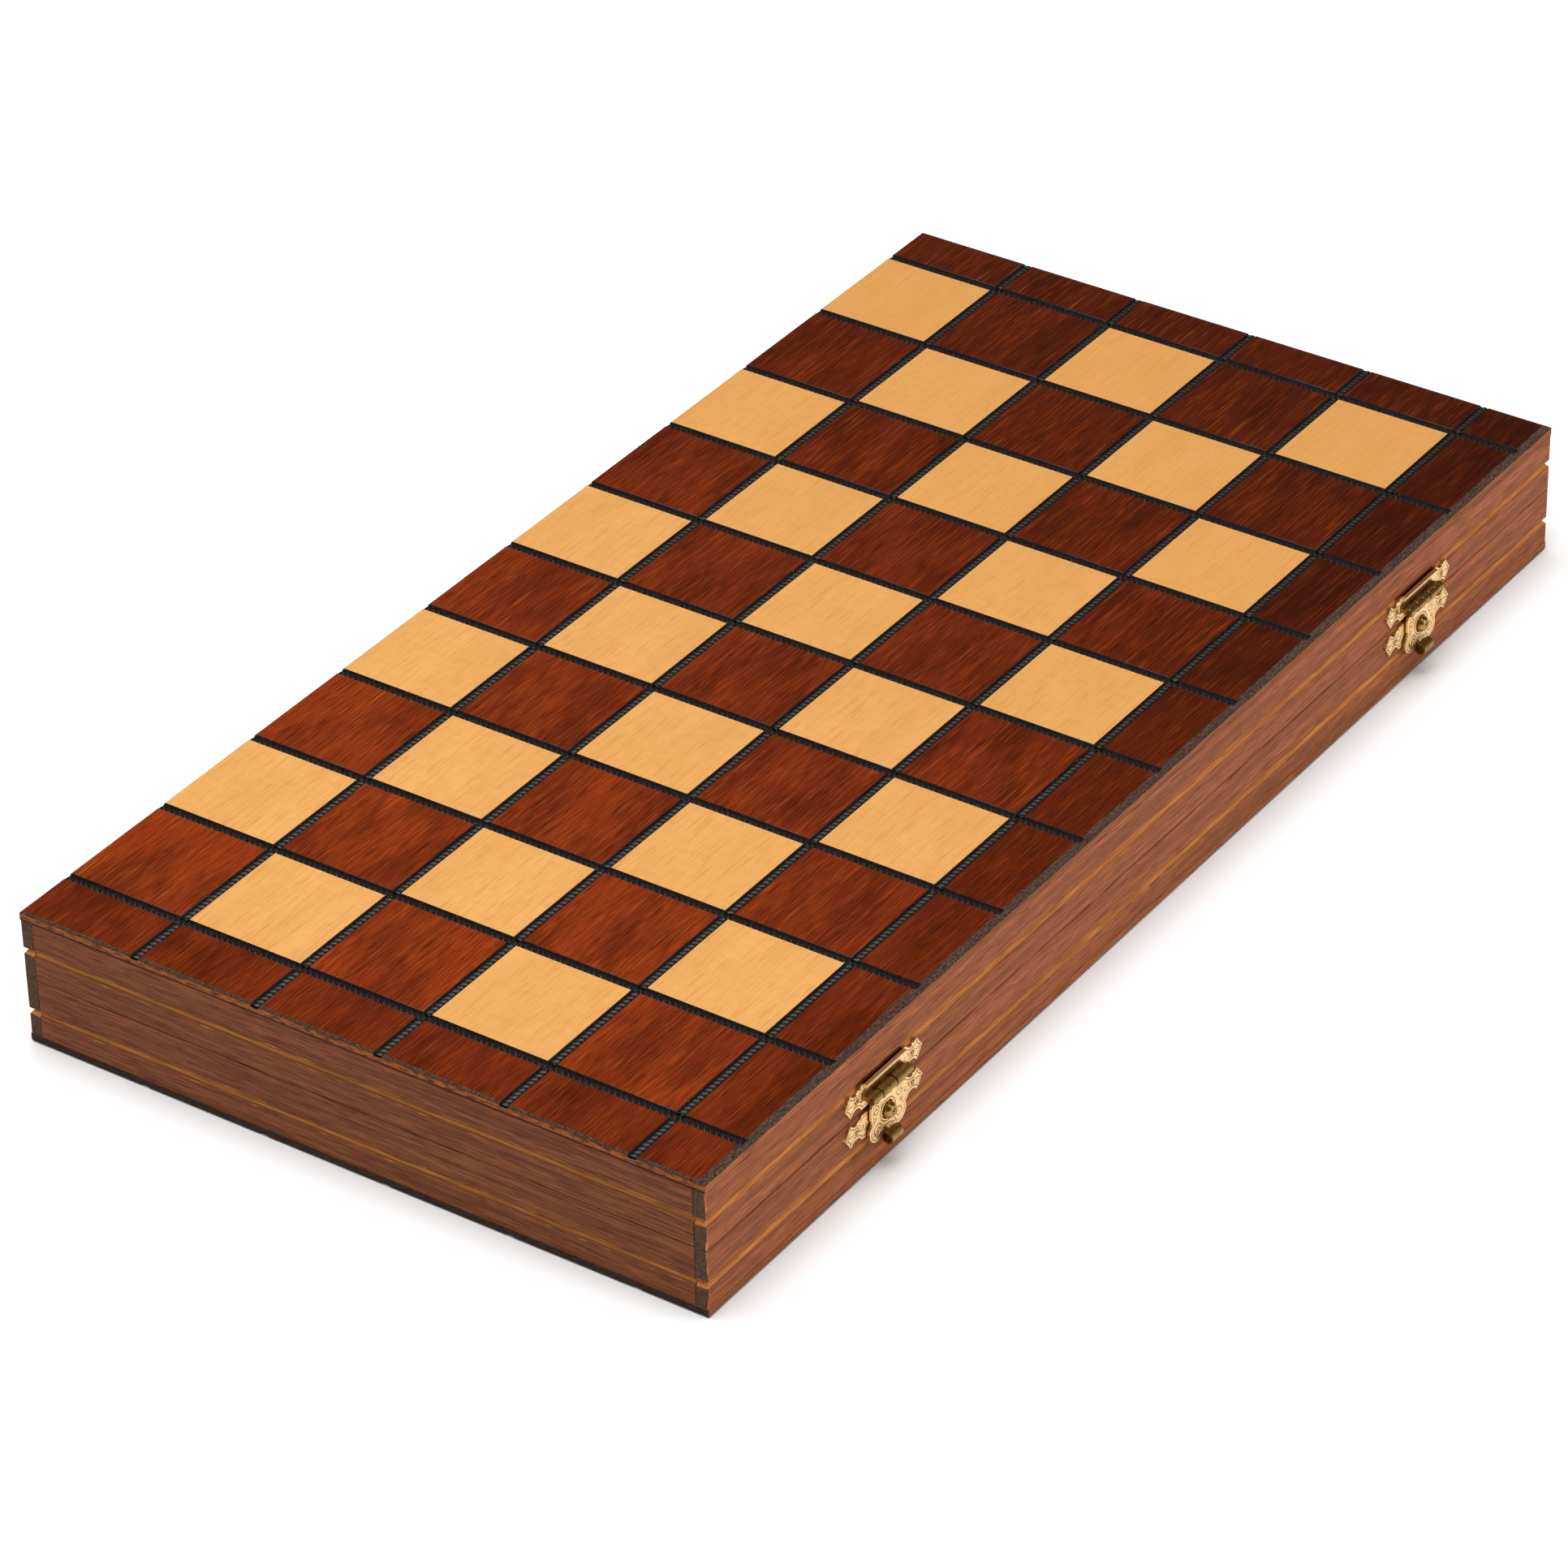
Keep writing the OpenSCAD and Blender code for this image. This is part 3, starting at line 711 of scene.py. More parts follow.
def add_outer_face(shape, settings, half_name):
    """Adds the pressed outer face, and gives the points of its rim in order."""
    cross, long = line_places(settings)
    half, depth = settings.line_w / MM / 2, settings.line_d / MM
    stop_y = -CASE_Y + settings.line_stop / MM
    xs = grid_lines(CASE_X, cross, half, [-CASE_X + END_LINE_W, CASE_X - END_LINE_W])
    ys = grid_lines(CASE_Y, long, half, [-CASE_Y + SCORCH_W, stop_y, stop_y + FADE_L])
    fade = np.interp(ys, [stop_y, stop_y + FADE_L], [0.0, 1.0])
    drop_cross = groove_depth(xs, cross, half, depth)[:, None] * fade[None, :]
    drop = np.maximum(drop_cross, groove_depth(ys, long, half, depth)[None, :])
    insets, sinks = zip(*EDGE_EASE)
    ease_x, ease_y = (
        np.interp(side - np.abs(at), insets, sinks) for side, at in ((CASE_X, xs), (CASE_Y, ys))
    )
    top = PANEL_T - np.maximum(drop, np.maximum(ease_x[:, None], ease_y[None, :]))
    nx, ny = len(xs), len(ys)
    light_parity = 0 if half_name == "lid" else 1
    middle_x, middle_y = (xs[:-1] + xs[1:]) / 2, (ys[:-1] + ys[1:]) / 2
    indices = [
        outer_material(x, y, cross, long, half, stop_y, light_parity) for x in middle_x for y in middle_y
    ]
    verts = [(xs[i], ys[j], top[i, j]) for i in range(nx) for j in range(ny)]
    shape.add(verts, grid_faces(nx, ny), indices)
    around = [(i, 0) for i in range(nx - 1)] + [(nx - 1, j) for j in range(ny - 1)]
    around += [(i, ny - 1) for i in range(nx - 1, 0, -1)] + [(0, j) for j in range(ny - 1, 0, -1)]
    return [(xs[i], ys[j], top[i, j]) for i, j in around]


def add_edges(shape, rim, half_name):
    """Adds the edge of the panel: amber ply over core ply at the ends, wall stain at the sides."""
    count = len(rim)
    verts = rim + [(x, y, z) for z in (CORE_T, 0.0) for x, y, _ in rim]
    faces, indices = [], []
    for level in range(2):
        for k in range(count):
            a, b = level * count + k, level * count + (k + 1) % count
            faces.append((a + count, b + count, b, a))
            at_end = min(abs(rim[k][0]), abs(rim[(k + 1) % count][0])) > CASE_X - 0.01
            end_index = 4 if level == 0 and half_name == "lid" else 5
            indices.append(end_index if at_end else 6)
    shape.add(verts, faces, indices)


def add_inner_face(shape, rim, settings):
    """Adds the inner face with the scored outlines of the points."""
    count = len(rim)
    flat, edges, depths = [p[:2] for p in rim], [(k, (k + 1) % count) for k in range(count)], {}
    triangles = point_triangles(settings)
    for triangle in triangles:
        for by, sink in ((0.0, 0.0), (SCORE_W / 2, SCORE_D), (SCORE_W, 0.0)):
            start = len(flat)
            flat += inset_triangle(triangle, by) if by else list(triangle)
            edges += [(start + k, start + (k + 1) % 3) for k in range(3)]
            for p in flat[start:]:
                depths[(round(p[0], 3), round(p[1], 3))] = sink
    co, _, tris, *_ = delaunay_2d_cdt([Vector(p) for p in flat], edges, [], 0, 1e-5)
    verts = [(p[0], p[1], depths.get((round(p[0], 3), round(p[1], 3)), 0.0)) for p in co]
    middles = [np.mean([co[k] for k in tri], axis=0) for tri in tris]
    indices = [inner_material(x, y, triangles) for x, y in middles]
    shape.add(verts, [tuple(reversed(t)) for t in tris], indices)


def board_shape(settings, half_name):
    """One board panel, drawn with its outer face up and turned over for the base."""
    shape = Shape()
    rim = add_outer_face(shape, settings, half_name)
    add_edges(shape, rim, half_name)
    add_inner_face(shape, rim, settings)
    base, hand = (CASE_H - PANEL_T, 1) if half_name == "lid" else (PANEL_T, -1)
    shape.verts = [(x, y, base + hand * z) for x, y, z in shape.verts]
    return shape


class GAMECASE_OT_boards(bpy.types.Operator):
    """Builds the two board panels with their pressed and scored faces"""

    bl_idname = "gamecase.boards"
    bl_label = "Boards"

    def execute(self, context):
        settings = context.scene.gamecase_board
        walls = context.scene.gamecase_walls
        for half in ("base", "lid"):
            materials = [
                shared("birch_ply_clear_lacquered", birch_ply_lacquered, settings),
                shared("birch_ply_mahogany_stained", stained_birch_ply, settings, 1.0),
                shared("birch_charred_by_hot_wheel", charred_birch, settings),
                shared("ply_edge_scorched_and_sanded", scorched_edge),
                shared("ply_edge_lacquered_amber", lacquered_ply_edge),
                shared("ply_core_edge_stained", core_ply_edge),
                wall_material(walls, half, "long"),
                shared("birch_ply_walnut_wiped", stained_field_ply),
                shared("birch_ply_mahogany_stained_twice", stained_birch_ply, settings, 0.68),
            ]
            piece = board_shape(settings, half).piece(half + "_board", materials, 50)
            for face in piece.data.polygons:
                face.use_smooth = abs(face.normal.z) < 0.999  # a wide face isn't tinted by its rim
            place(piece, half, "board_wood", half + "_panel")
        return {"FINISHED"}


# ---- rope beads in the pressed lines ----

ROPE_ROWS = 9  # rows of points for each lobe of the bead
ROPE_ACROSS = (-1.0, -0.72, -0.3, 0.15, 0.62, 1.0)
ROPE_END = 0.3  # plain wood past the end of a bead
ROPE_FOOT = 0.78  # depth of a bead's sides
ROPE_SLANT = 0.65  # how far a lobe runs along for its run across
FLARE, FLARE_L = 0.32, 2.6  # a crosswise bead widens by this share, over this length, at the clasps


def rope_run(start, end, half, pitch, hand, lobe_h, flare_start):
    """Verts and faces of one rope bead along U from start to end, across V, height in W."""
    rows = max(4, int(round((end - start) / pitch * ROPE_ROWS)))
    u = np.linspace(start, end, rows + 1)
    v = np.array(ROPE_ACROSS)
    near_start = np.clip(1 - (u - start) / FLARE_L, 0, 1) if flare_start else 0 * u
    grow = 1 + FLARE * near_start**1.5
    across = v[None, :] * half * grow[:, None]
    phase = (u[:, None] - hand * across * ROPE_SLANT) / pitch
    lobe = np.abs(np.sin(math.pi * phase)) ** 1.1
    dome = np.sqrt(np.clip(1 - (0.93 * v[None, :]) ** 2, 0, 1))
    top = -ROPE_FOOT + dome * (ROPE_FOOT - lobe_h * (1 - lobe))
    u_all = u[:, None] + hand * 0.1 * np.sin(2 * math.pi * phase)
    count = len(v)
    verts = np.stack([u_all, across, top], axis=-1).reshape(-1, 3)
    faces = grid_faces(rows + 1, count)
    faces += [(a + count - 1, a + 2 * count - 1, a + count, a) for a in range(0, rows * count, count)]
    faces += [tuple(range(count)), tuple(range(rows * count + count - 1, rows * count - 1, -1))]
    return verts, faces


def rope_shape(settings, half_name, direction):
    """All rope beads of one board that run crosswise or lengthwise."""
    cross, long = line_places(settings)
    half, pitch = settings.rope_w / MM / 2, settings.rope_pitch / MM
    stop_y = -CASE_Y + settings.line_stop / MM
    up, face_z = (1, CASE_H) if half_name == "lid" else (-1, 0.0)
    shape = Shape()
    if direction == "cross":
        runs, lobe_h = [(x, stop_y + 0.05, CASE_Y - ROPE_END, True) for x in cross], 0.7
    else:
        stops = [x + s * half for x in cross for s in (-1, 1)]
        stops = [-CASE_X + ROPE_END, *stops, CASE_X - ROPE_END]
        runs, lobe_h = [(y, a, b, False) for y in long for a, b in zip(stops[::2], stops[1::2])], 0.42
    hand = up * (1 if direction == "cross" else -1)
    for centre, start, end, flare in runs:
        verts, faces = rope_run(start, end, half, pitch, hand, lobe_h, flare)
        u, v, w = verts.T
        z = face_z + up * w
        xyz = np.stack([v + centre, u, z] if direction == "cross" else [u, v + centre, z], axis=-1)
        shape.add(xyz, faces)
    return shape


class GAMECASE_OT_ropes(bpy.types.Operator):
    """Builds the twisted rope beads in the pressed lines of both boards"""

    bl_idname = "gamecase.ropes"
    bl_label = "Rope beads"

    def execute(self, context):
        settings = context.scene.gamecase_board
        burnt = shared("birch_charred_by_hot_wheel", charred_birch, settings)
        for half in ("base", "lid"):
            for direction in ("cross", "long"):
                shape = rope_shape(settings, half, direction)
                piece = shape.piece(f"{half}_rope_{direction}_lines", [burnt])
                place(piece, half, "board_wood")
        return {"FINISHED"}


# ---- walls ----


def wall_material(settings, half, kind):
    """The stained wood of a long or a short wall of one half."""
    # the short walls take the darker colour, which is painted shade
    base = tuple(settings.stain if kind == "long" else settings.stain_short)
    name = f"alder_{kind}_wall_stained_{half}"
    grain = "X" if kind == "long" else "Y"
    return shared(name, stained_wall_wood, base, grain, VEE_Z[half], settings)


def eased_wall(name, half, kind, settings):
    """A wall as the frame has it, with eased edges and a material for each cut."""
    bm = bmesh.new()
    bm.from_mesh(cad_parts[name].data)
    bmesh.ops.remove_doubles(bm, verts=bm.verts, dist=1e-6)
    bmesh.ops.dissolve_limit(bm, angle_limit=math.radians(1), verts=bm.verts, edges=bm.edges)
    side_x, side_y = CASE_X * MM, CASE_Y * MM

    def on_corner(vert):
        return abs(abs(vert.co.x) - side_x) < 1e-5 and abs(abs(vert.co.y) - side_y) < 1e-5

    def can_ease(edge):
        is_sharp = len(edge.link_faces) == 2 and edge.calc_face_angle_signed(0.0) > math.radians(40)
        return is_sharp and edge.calc_length() > 1.5 * settings.ease

    rounding = {"profile": 0.5, "affect": "EDGES"}
    corners = [e for e in bm.edges if on_corner(e.verts[0]) and on_corner(e.verts[1])]
    if corners:
        bmesh.ops.bevel(bm, geom=corners, offset=settings.corner, segments=3, **rounding)
    sharp = [e for e in bm.edges if can_ease(e)]
    bmesh.ops.bevel(bm, geom=sharp, offset=settings.ease, segments=2, clamp_overlap=True, **rounding)
    groove = VEE_Z[half] * MM
    for face in bm.faces:
        middle, normal = face.calc_center_median(), face.normal
        face.material_index = 0
        if abs(middle.z - groove) < VEE_HALF * MM and 0.3 < abs(normal.z) < 0.95:
            face.material_index = 1
        elif min(abs(normal.x), abs(normal.y)) > 0.2 and abs(normal.z) < 0.3:
            face.material_index = 3 if abs(middle.y) > side_y - 0.5 * MM else 2
        elif kind == "long" and abs(middle.x) > side_x - 0.1 * MM:
            face.material_index = 2
        face.smooth = False
    mesh = bpy.data.meshes.new(name + "_eased")
    bm.to_mesh(mesh)
    bm.free()
    for material in (
        wall_material(settings, half, kind),
        shared(f"alder_cut_groove_{kind}_{half}", cut_groove_wood, settings, half, kind),
        shared("alder_end_grain_stained", end_grain_wood),
        shared("alder_arris_rubbed", rubbed_arris_wood),
    ):
        mesh.materials.append(material)
    return linked(name + "_eased", mesh)


class GAMECASE_OT_walls(bpy.types.Operator):
    """Builds the eight walls with eased edges, V grooves and dark end grain"""

    bl_idname = "gamecase.walls"
    bl_label = "Walls"

    def execute(self, context):
        settings = context.scene.gamecase_walls
        for half in ("base", "lid"):
            for side, kind in (("front", "long"), ("back", "long"), ("left", "short"), ("right", "short")):
                name = f"{half}_{side}_wall"
                piece = eased_wall(name, half, kind, settings)
                place(piece, half, kind + "_wall_wood", name)
        return {"FINISHED"}


# ---- brassware ----

HASP_HOLE_Z = 15.6
SHEET_T = 0.8  # clasp sheet
PLATE_FRONT = -CASE_Y - SHEET_T
HASP_BACK = -CASE_Y - 1.1
LID_PLATE_Z = 24.3
LIP_TOP = LID_PLATE_Z + 3.5
LIP_OUT, LIP_R, LIP_HALF_L = 1.3, 0.38, 8.4
BARREL_YZ = (-103.45, 23.3)
LID_KNUCKLES, LID_KNUCKLE_R = ((-8.5, -4.6), (-1.4, 1.4), (4.6, 8.5)), 1.34
HASP_KNUCKLES, HASP_KNUCKLE_R = ((-4.5, -1.6), (1.6, 4.5)), 1.5
CURL_YZ = (-104.0, 9.0)
CURL_OUTER, CURL_INNER, CURL_HALF_W = 1.7, 1.22, 2.35
RIM_LINE, RIM_LINE_W = 0.72, 0.17  # stamped line that follows the rim
SCROLL_W = 0.19
RIM_FALL, RIM_ROUND = 0.16, 0.28  # how far the rim rounds over, and from how far in
RAIL_HALF_L, RAIL_RISE, RAIL_POINTS = 7.6, 1.9, 160  # stamped line below the lip
KNUCKLE_GAP, KNUCKLE_BORE, KNUCKLE_CHAMFER = 0.04, 0.57, 0.22
TAB_HALF_H = 0.6  # strip of sheet that joins a knuckle to its plate

def face_loops(name, level_y):
    """Outline loops, as (x, z) points in millimetres, of a node's faces that lie at one Y."""
    bm = bmesh.new()
    bm.from_mesh(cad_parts[name].data)
    bmesh.ops.remove_doubles(bm, verts=bm.verts, dist=1e-6)
    faces = {
        f
        for f in bm.faces
        if abs(abs(f.normal.y) - 1) < 1e-3 and abs(f.calc_center_median().y / MM - level_y) < 0.01
    }
    edges = [e for e in bm.edges if sum(f in faces for f in e.link_faces) == 1]
    follow = {}
    for e in edges:
        for a, b in ((e.verts[0], e.verts[1]), (e.verts[1], e.verts[0])):
            follow.setdefault(a, []).append(b)
    loops, used = [], set()
    for first in sorted(follow, key=lambda v: v.index):
        if first in used:
            continue
        loop, before, now = [], None, first
        while now not in used:
            used.add(now)
            loop.append((now.co.x / MM, now.co.z / MM))
            onward = [v for v in follow[now] if v is not before and v not in used]
            if not onward:
                break
            before, now = now, onward[0]
        if len(loop) > 2:
            loops.append(loop)
    bm.free()
    return loops


def even_points(loop, step):
    """A loop with extra points so that none is further apart than a step."""
    out = []
    for k, a in enumerate(loop):
        b = loop[(k + 1) % len(loop)]
        parts = max(1, math.ceil(math.dist(a, b) / step))
        out += [(a[0] + (b[0] - a[0]) * i / parts, a[1] + (b[1] - a[1]) * i / parts) for i in range(parts)]
    return out


def inside_loops(points, loops):
    """True for each point inside an odd number of loops."""
    x, y = points[:, 0], points[:, 1]
    odd = np.zeros(len(points), bool)
    for loop in loops:
        for k, (ax, ay) in enumerate(loop):
            bx, by = loop[(k + 1) % len(loop)]
            if ay != by:
                odd ^= ((ay > y) != (by > y)) & (x < (bx - ax) * (y - ay) / (by - ay) + ax)
    return odd


def nearest(points, targets):
    """Distance from each point to the nearest target point."""
    out = np.full(len(points), 1e9)
    for start in range(0, len(targets), 64):
        part = targets[start : start + 64]
        out = np.minimum(out, np.min(np.linalg.norm(points[:, None] - part[None], axis=2), axis=1))
    return out


def curl(cx, cz, r0, r1, start, turns, step=0.08):
    """Points of a scroll that winds from radius r0 to r1 about a centre."""
    count = max(8, int(abs(turns) * math.pi * (r0 + r1) / step))
    t = np.linspace(0, 1, count)
    angle = math.radians(start) + t * turns * 2 * math.pi
    radius = r0 + (r1 - r0) * t
    return np.stack([cx + radius * np.cos(angle), cz + radius * np.sin(angle)], axis=1)


def mirrored(curves, centre_x):
    """Scrolls drawn for the right side, with their left twins, at a clasp's middle."""
    out = []
    for c in curves:
        for side in (1, -1):
            out.append(np.stack([centre_x + side * c[:, 0], c[:, 1]], axis=1))
    return np.concatenate(out)


def filled(points, edges, loops):
    """Points, and the triangles between them that fill the loops."""
    co, _, tris, *_ = delaunay_2d_cdt([Vector(p) for p in points], edges, [], 0, 1e-6)
    co = np.array([tuple(c) for c in co])
    tris = np.array([t for t in tris if len(t) == 3])
    return co, tris[inside_loops(co[tris].mean(axis=1), loops)]


def stamped_face(shape, loops, front_y, back_y, scrolls, settings):
    """Adds a stamped sheet: sunk scroll lines on its front, rounded rim, flat back."""
    step, height = settings.grid / MM, settings.relief / MM
    loops = [even_points(loop, step * 1.2) for loop in loops]
    rim = np.array([p for loop in loops for p in loop])
    low, high = rim.min(0), rim.max(0)
    gx, gz = np.meshgrid(np.arange(low[0], high[0], step), np.arange(low[1], high[1], step))
    gx[::2] += step / 2
    inner = np.stack([gx.ravel(), gz.ravel()], axis=1)
    inner = inner[inside_loops(inner, loops)]
    inner = inner[nearest(inner, rim) > step * 0.55]
    edges, start = [], 0
    for loop in loops:
        count = len(loop)
        edges += [(start + k, start + (k + 1) % count) for k in range(count)]
        start += count
    co, tris = filled(np.concatenate([rim, inner]), edges, loops)
    off_rim, off_scroll = nearest(co, rim), nearest(co, scrolls)
    line = 0.8 * np.exp(-(((off_rim - RIM_LINE) / RIM_LINE_W) ** 2))
    sink = height * np.maximum(np.exp(-((off_scroll / SCROLL_W) ** 2)), line)
    fall = RIM_FALL * np.clip(1 - off_rim / RIM_ROUND, 0, 1) ** 2
    y = front_y + sink * np.clip(off_rim / 0.3, 0, 1) + fall
    on_rim_line = np.abs(off_rim[tris].mean(axis=1) - RIM_LINE) < 0.08
    in_line = on_rim_line | (off_scroll[tris].mean(axis=1) < 0.12)
    shape.add(np.stack([co[:, 0], y, co[:, 1]], axis=1), tris.tolist(), np.where(in_line, 2, 0).tolist())
    for loop in loops:
        count = len(loop)
        ids = [int(np.argmin(np.sum((co - p) ** 2, axis=1))) for p in loop]
        verts = [(co[i, 0], y[i], co[i, 1]) for i in ids]
        verts += [(co[i, 0], back_y, co[i, 1]) for i in ids]
        shape.add(verts, [(k, (k + 1) % count, count + (k + 1) % count, count + k) for k in range(count)])
    flat, backs = filled(rim, edges, loops)
    shape.add(np.stack([flat[:, 0], np.full(len(flat), back_y), flat[:, 1]], axis=1), backs.tolist())


def ear_scrolls(centre_x, z):
    """Scrolls on the two ears of a plate."""
    curves = [
        curl(11.9, z + 4.5, 3.2, 3.2, 215, 0.3),
        curl(11.9, z - 4.5, 3.2, 3.2, 37, 0.3),
        curl(16.5, z + 2.5, 2.15, 2.15, 170, 0.25),
        curl(16.5, z - 2.5, 2.15, 2.15, 100, 0.25),
        curl(9.4, z, 1.3, 0.4, 60, -0.9),
        np.stack([np.linspace(13.6, 15.4, 20), np.full(20, z)], axis=1),
    ]
    return mirrored(curves, centre_x)


def hasp_scrolls(centre_x):
    """Scrolls on the face of a hasp."""
    z = HASP_HOLE_Z
    curves = [
        curl(0, z, 3.1, 3.1, -90, 0.5),
        curl(4.5, z - 3.5, 2.0, 0.5, 250, -1.4),
        curl(5.0, z + 2.4, 1.5, 0.4, 60, 1.3),
        curl(1.5, z + 4.9, 0.9, 0.3, 90, 0.9),
        curl(3.9, z + 4.9, 0.8, 0.3, 0, -0.9),
        curl(1.7, z - 5.0, 0.9, 0.3, 200, 0.9),
        curl(5.7, z - 0.2, 0.7, 0.3, 110, 0.8),
    ]
    return mirrored(curves, centre_x)


def clasp_brasses(settings):
    """The clasps' brass: the stamped face, its rolled edges, and the floor of its stamped lines.

    The rolled edges are duller and more patchy where the lacquer cracked in the rolling, and their darker
    brass is painted shade; the lines hold patina.
    """
    return [
        shared("brass_sheet_stamped", brass_metal, tuple(settings.sheet), 0.3, 0.2),
        # painted shade: the rolled brass is a darker copy of the sheet brass
        shared("brass_edge_rolled", brass_metal, tuple(settings.rolled), 0.34, 0.6),
        shared("brass_line_patinated", brass_metal, tuple(settings.patina), 0.5, 0.5),
    ]


def turned_brass(settings):
    """The brass of knobs, pins, nails and screws, darker than the stamped face as painted shade."""
    return shared("brass_rod_turned", brass_metal, tuple(settings.turned), 0.26, 0.4)


def add_knuckles(shape, x, spans, radius):
    """Adds the knuckles of a clasp barrel, in the second material."""
    for x0, x1 in spans:
        ends = x + x0 + KNUCKLE_GAP, x + x1 - KNUCKLE_GAP
        profile = ring_profile(*ends, radius, KNUCKLE_BORE, KNUCKLE_CHAMFER)
        shape.add(*turned(profile, 32, (0, *BARREL_YZ), "X"), 1)


def base_plate(x, loops, settings):
    """A base plate: a stamped sheet with two ears."""
    shape = Shape()
    stamped_face(shape, loops, PLATE_FRONT, -CASE_Y, ear_scrolls(x, HASP_HOLE_Z), settings)
    return shape


def lid_plate(x, loops, settings):
    """A lid plate: the same sheet, with a lip folded into the V groove and three knuckles."""
    shape = Shape()
    rise = LID_PLATE_Z - HASP_HOLE_Z
    raised = [[(px, pz + rise) for px, pz in loop] for loop in loops]
    # the small round loop in the middle is the knob's hole, which this plate doesn't have
    raised = [loop for loop in raised if abs(np.mean(loop, axis=0)[0] - x) > 3 or len(loop) > 60]
    along = np.linspace(-RAIL_HALF_L, RAIL_HALF_L, RAIL_POINTS)
    rail = np.stack([x + along, np.full(RAIL_POINTS, LID_PLATE_Z + RAIL_RISE)], axis=1)
    scrolls = np.concatenate([ear_scrolls(x, LID_PLATE_Z), rail])
    stamped_face(shape, raised, PLATE_FRONT, -CASE_Y, scrolls, settings)
    nose = np.radians(np.linspace(270, 90, 7))
    nose_y, nose_z = -CASE_Y - LIP_OUT, LIP_TOP - LIP_R
    lip = [(-CASE_Y + 0.5, LIP_TOP), (-CASE_Y + 0.5, LIP_TOP - 2 * LIP_R)]
    lip += [(nose_y + LIP_R * math.cos(a), nose_z + LIP_R * math.sin(a)) for a in nose]
    shape.add(*extruded(lip, x - LIP_HALF_L, x + LIP_HALF_L))
    add_knuckles(shape, x, LID_KNUCKLES, LID_KNUCKLE_R)
    near, far = -CASE_Y - 0.4, -CASE_Y - LIP_OUT
    low, high = BARREL_YZ[1] - TAB_HALF_H, BARREL_YZ[1] + TAB_HALF_H
    tab = [(near, low), (far, low), (far, high), (near, high)]
    for x0, x1 in LID_KNUCKLES:
        shape.add(*extruded(tab, x + x0 + 0.1, x + x1 - 0.1), 1)
    return shape


def hasp(x, loops, settings):
    """A hasp: stamped sheet, two knuckles and a finger curl rolled from its lower end."""
    shape = Shape()
    stamped_face(shape, loops, HASP_BACK - SHEET_T, HASP_BACK, hasp_scrolls(x), settings)
    add_knuckles(shape, x, HASP_KNUCKLES, HASP_KNUCKLE_R)
    cy, cz = CURL_YZ
    turn = np.radians(np.linspace(28, -285, 34))
    section = [(cy + CURL_OUTER * math.cos(a), cz + CURL_OUTER * math.sin(a)) for a in turn]
    section += [(cy + CURL_INNER * math.cos(a), cz + CURL_INNER * math.sin(a)) for a in turn[::-1]]
    shape.add(*extruded(section, x - CURL_HALF_W, x + CURL_HALF_W), 1)
    return shape


class GAMECASE_OT_plates(bpy.types.Operator):
    """Builds the lid and base plates of both clasps"""

    bl_idname = "gamecase.plates"
    bl_label = "Clasp plates"

    def execute(self, context):
        settings = context.scene.gamecase_brass
        brasses = clasp_brasses(settings)
        for side, x in CLASPS.items():
            loops = face_loops(f"clasp_{side}_base_plate", -CASE_Y)
            for half, build in (("base", base_plate), ("lid", lid_plate)):
                name = f"clasp_{side}_{half}_plate"
                piece = build(x, loops, settings).piece(name + "_stamped", brasses, 35)
                place(piece, half, "clasp_brass", name)
        return {"FINISHED"}


class GAMECASE_OT_hasps(bpy.types.Operator):
    """Builds the two hasps with their scrolls and rolled finger curls"""

    bl_idname = "gamecase.hasps"
    bl_label = "Hasps"

    def execute(self, context):
        settings = context.scene.gamecase_brass
        brasses = clasp_brasses(settings)
        for side, x in CLASPS.items():
            name = f"clasp_{side}_hasp"
            shape = hasp(x, face_loops(name, HASP_BACK), settings)
            place(shape.piece(name + "_stamped", brasses, 35), "hasp_" + side, "clasp_brass", name)
        return {"FINISHED"}


# A knob's shank, collar and domed head with its tip, as (along, radius).
KNOB_PROFILE = (
    (0.0, 0.0), (0.0, 0.78), (0.8, 0.78), (0.8, 1.75), (1.5, 1.75),
    (1.7, 2.0), (1.95, 2.1), (2.35, 2.1), (2.8, 1.97), (3.2, 1.7), (3.48, 1.35), (3.6, 1.0),
    (3.62, 0.86), (3.8, 0.78), (4.02, 0.6), (4.15, 0.32), (4.2, 0.0),
)


class GAMECASE_OT_knobs(bpy.types.Operator):
    """Builds the two turned knobs, and finishes the clasps' pins and nails"""

    bl_idname = "gamecase.knobs"
    bl_label = "Knobs, pins and nails"

    def execute(self, context):
        rod = turned_brass(context.scene.gamecase_brass)
        for side, x in CLASPS.items():
            shape = Shape()
            shape.add(*turned(KNOB_PROFILE, 40, (x, -CASE_Y, HASP_HOLE_Z), "Y"))
            piece = shape.piece(f"clasp_{side}_knob_turned", [rod], 50)
            place(piece, "base", "clasp_brass", f"clasp_{side}_knob")
        for name in ("clasp_left_pin", "clasp_right_pin", "clasp_lid_nails", "clasp_base_nails"):
            refinish(name, rod)
        return {"FINISHED"}


def refinish(name, material):
    """Gives a frame node its material."""
    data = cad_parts[name].data
    data.materials.clear()
    data.materials.append(material)


class GAMECASE_OT_hinges(bpy.types.Operator):
    """Finishes the hinge leaves, pins and screws"""

    bl_idname = "gamecase.hinges"
    bl_label = "Hinges"

    def execute(self, context):
        settings = context.scene.gamecase_brass
        rod = turned_brass(settings)
        leaf = shared("brass_leaf_rolled", brass_metal, scaled(settings.sheet, 0.75), 0.3, 0.4)
        for side in ("left", "right"):
            for half in ("base", "lid"):
                refinish(f"hinge_{side}_{half}_leaf", leaf)
            refinish(f"hinge_{side}_pin", rod)
        for half in ("base", "lid"):
            refinish(f"hinge_{half}_screws", rod)
        return {"FINISHED"}


# ---- men and dice ----


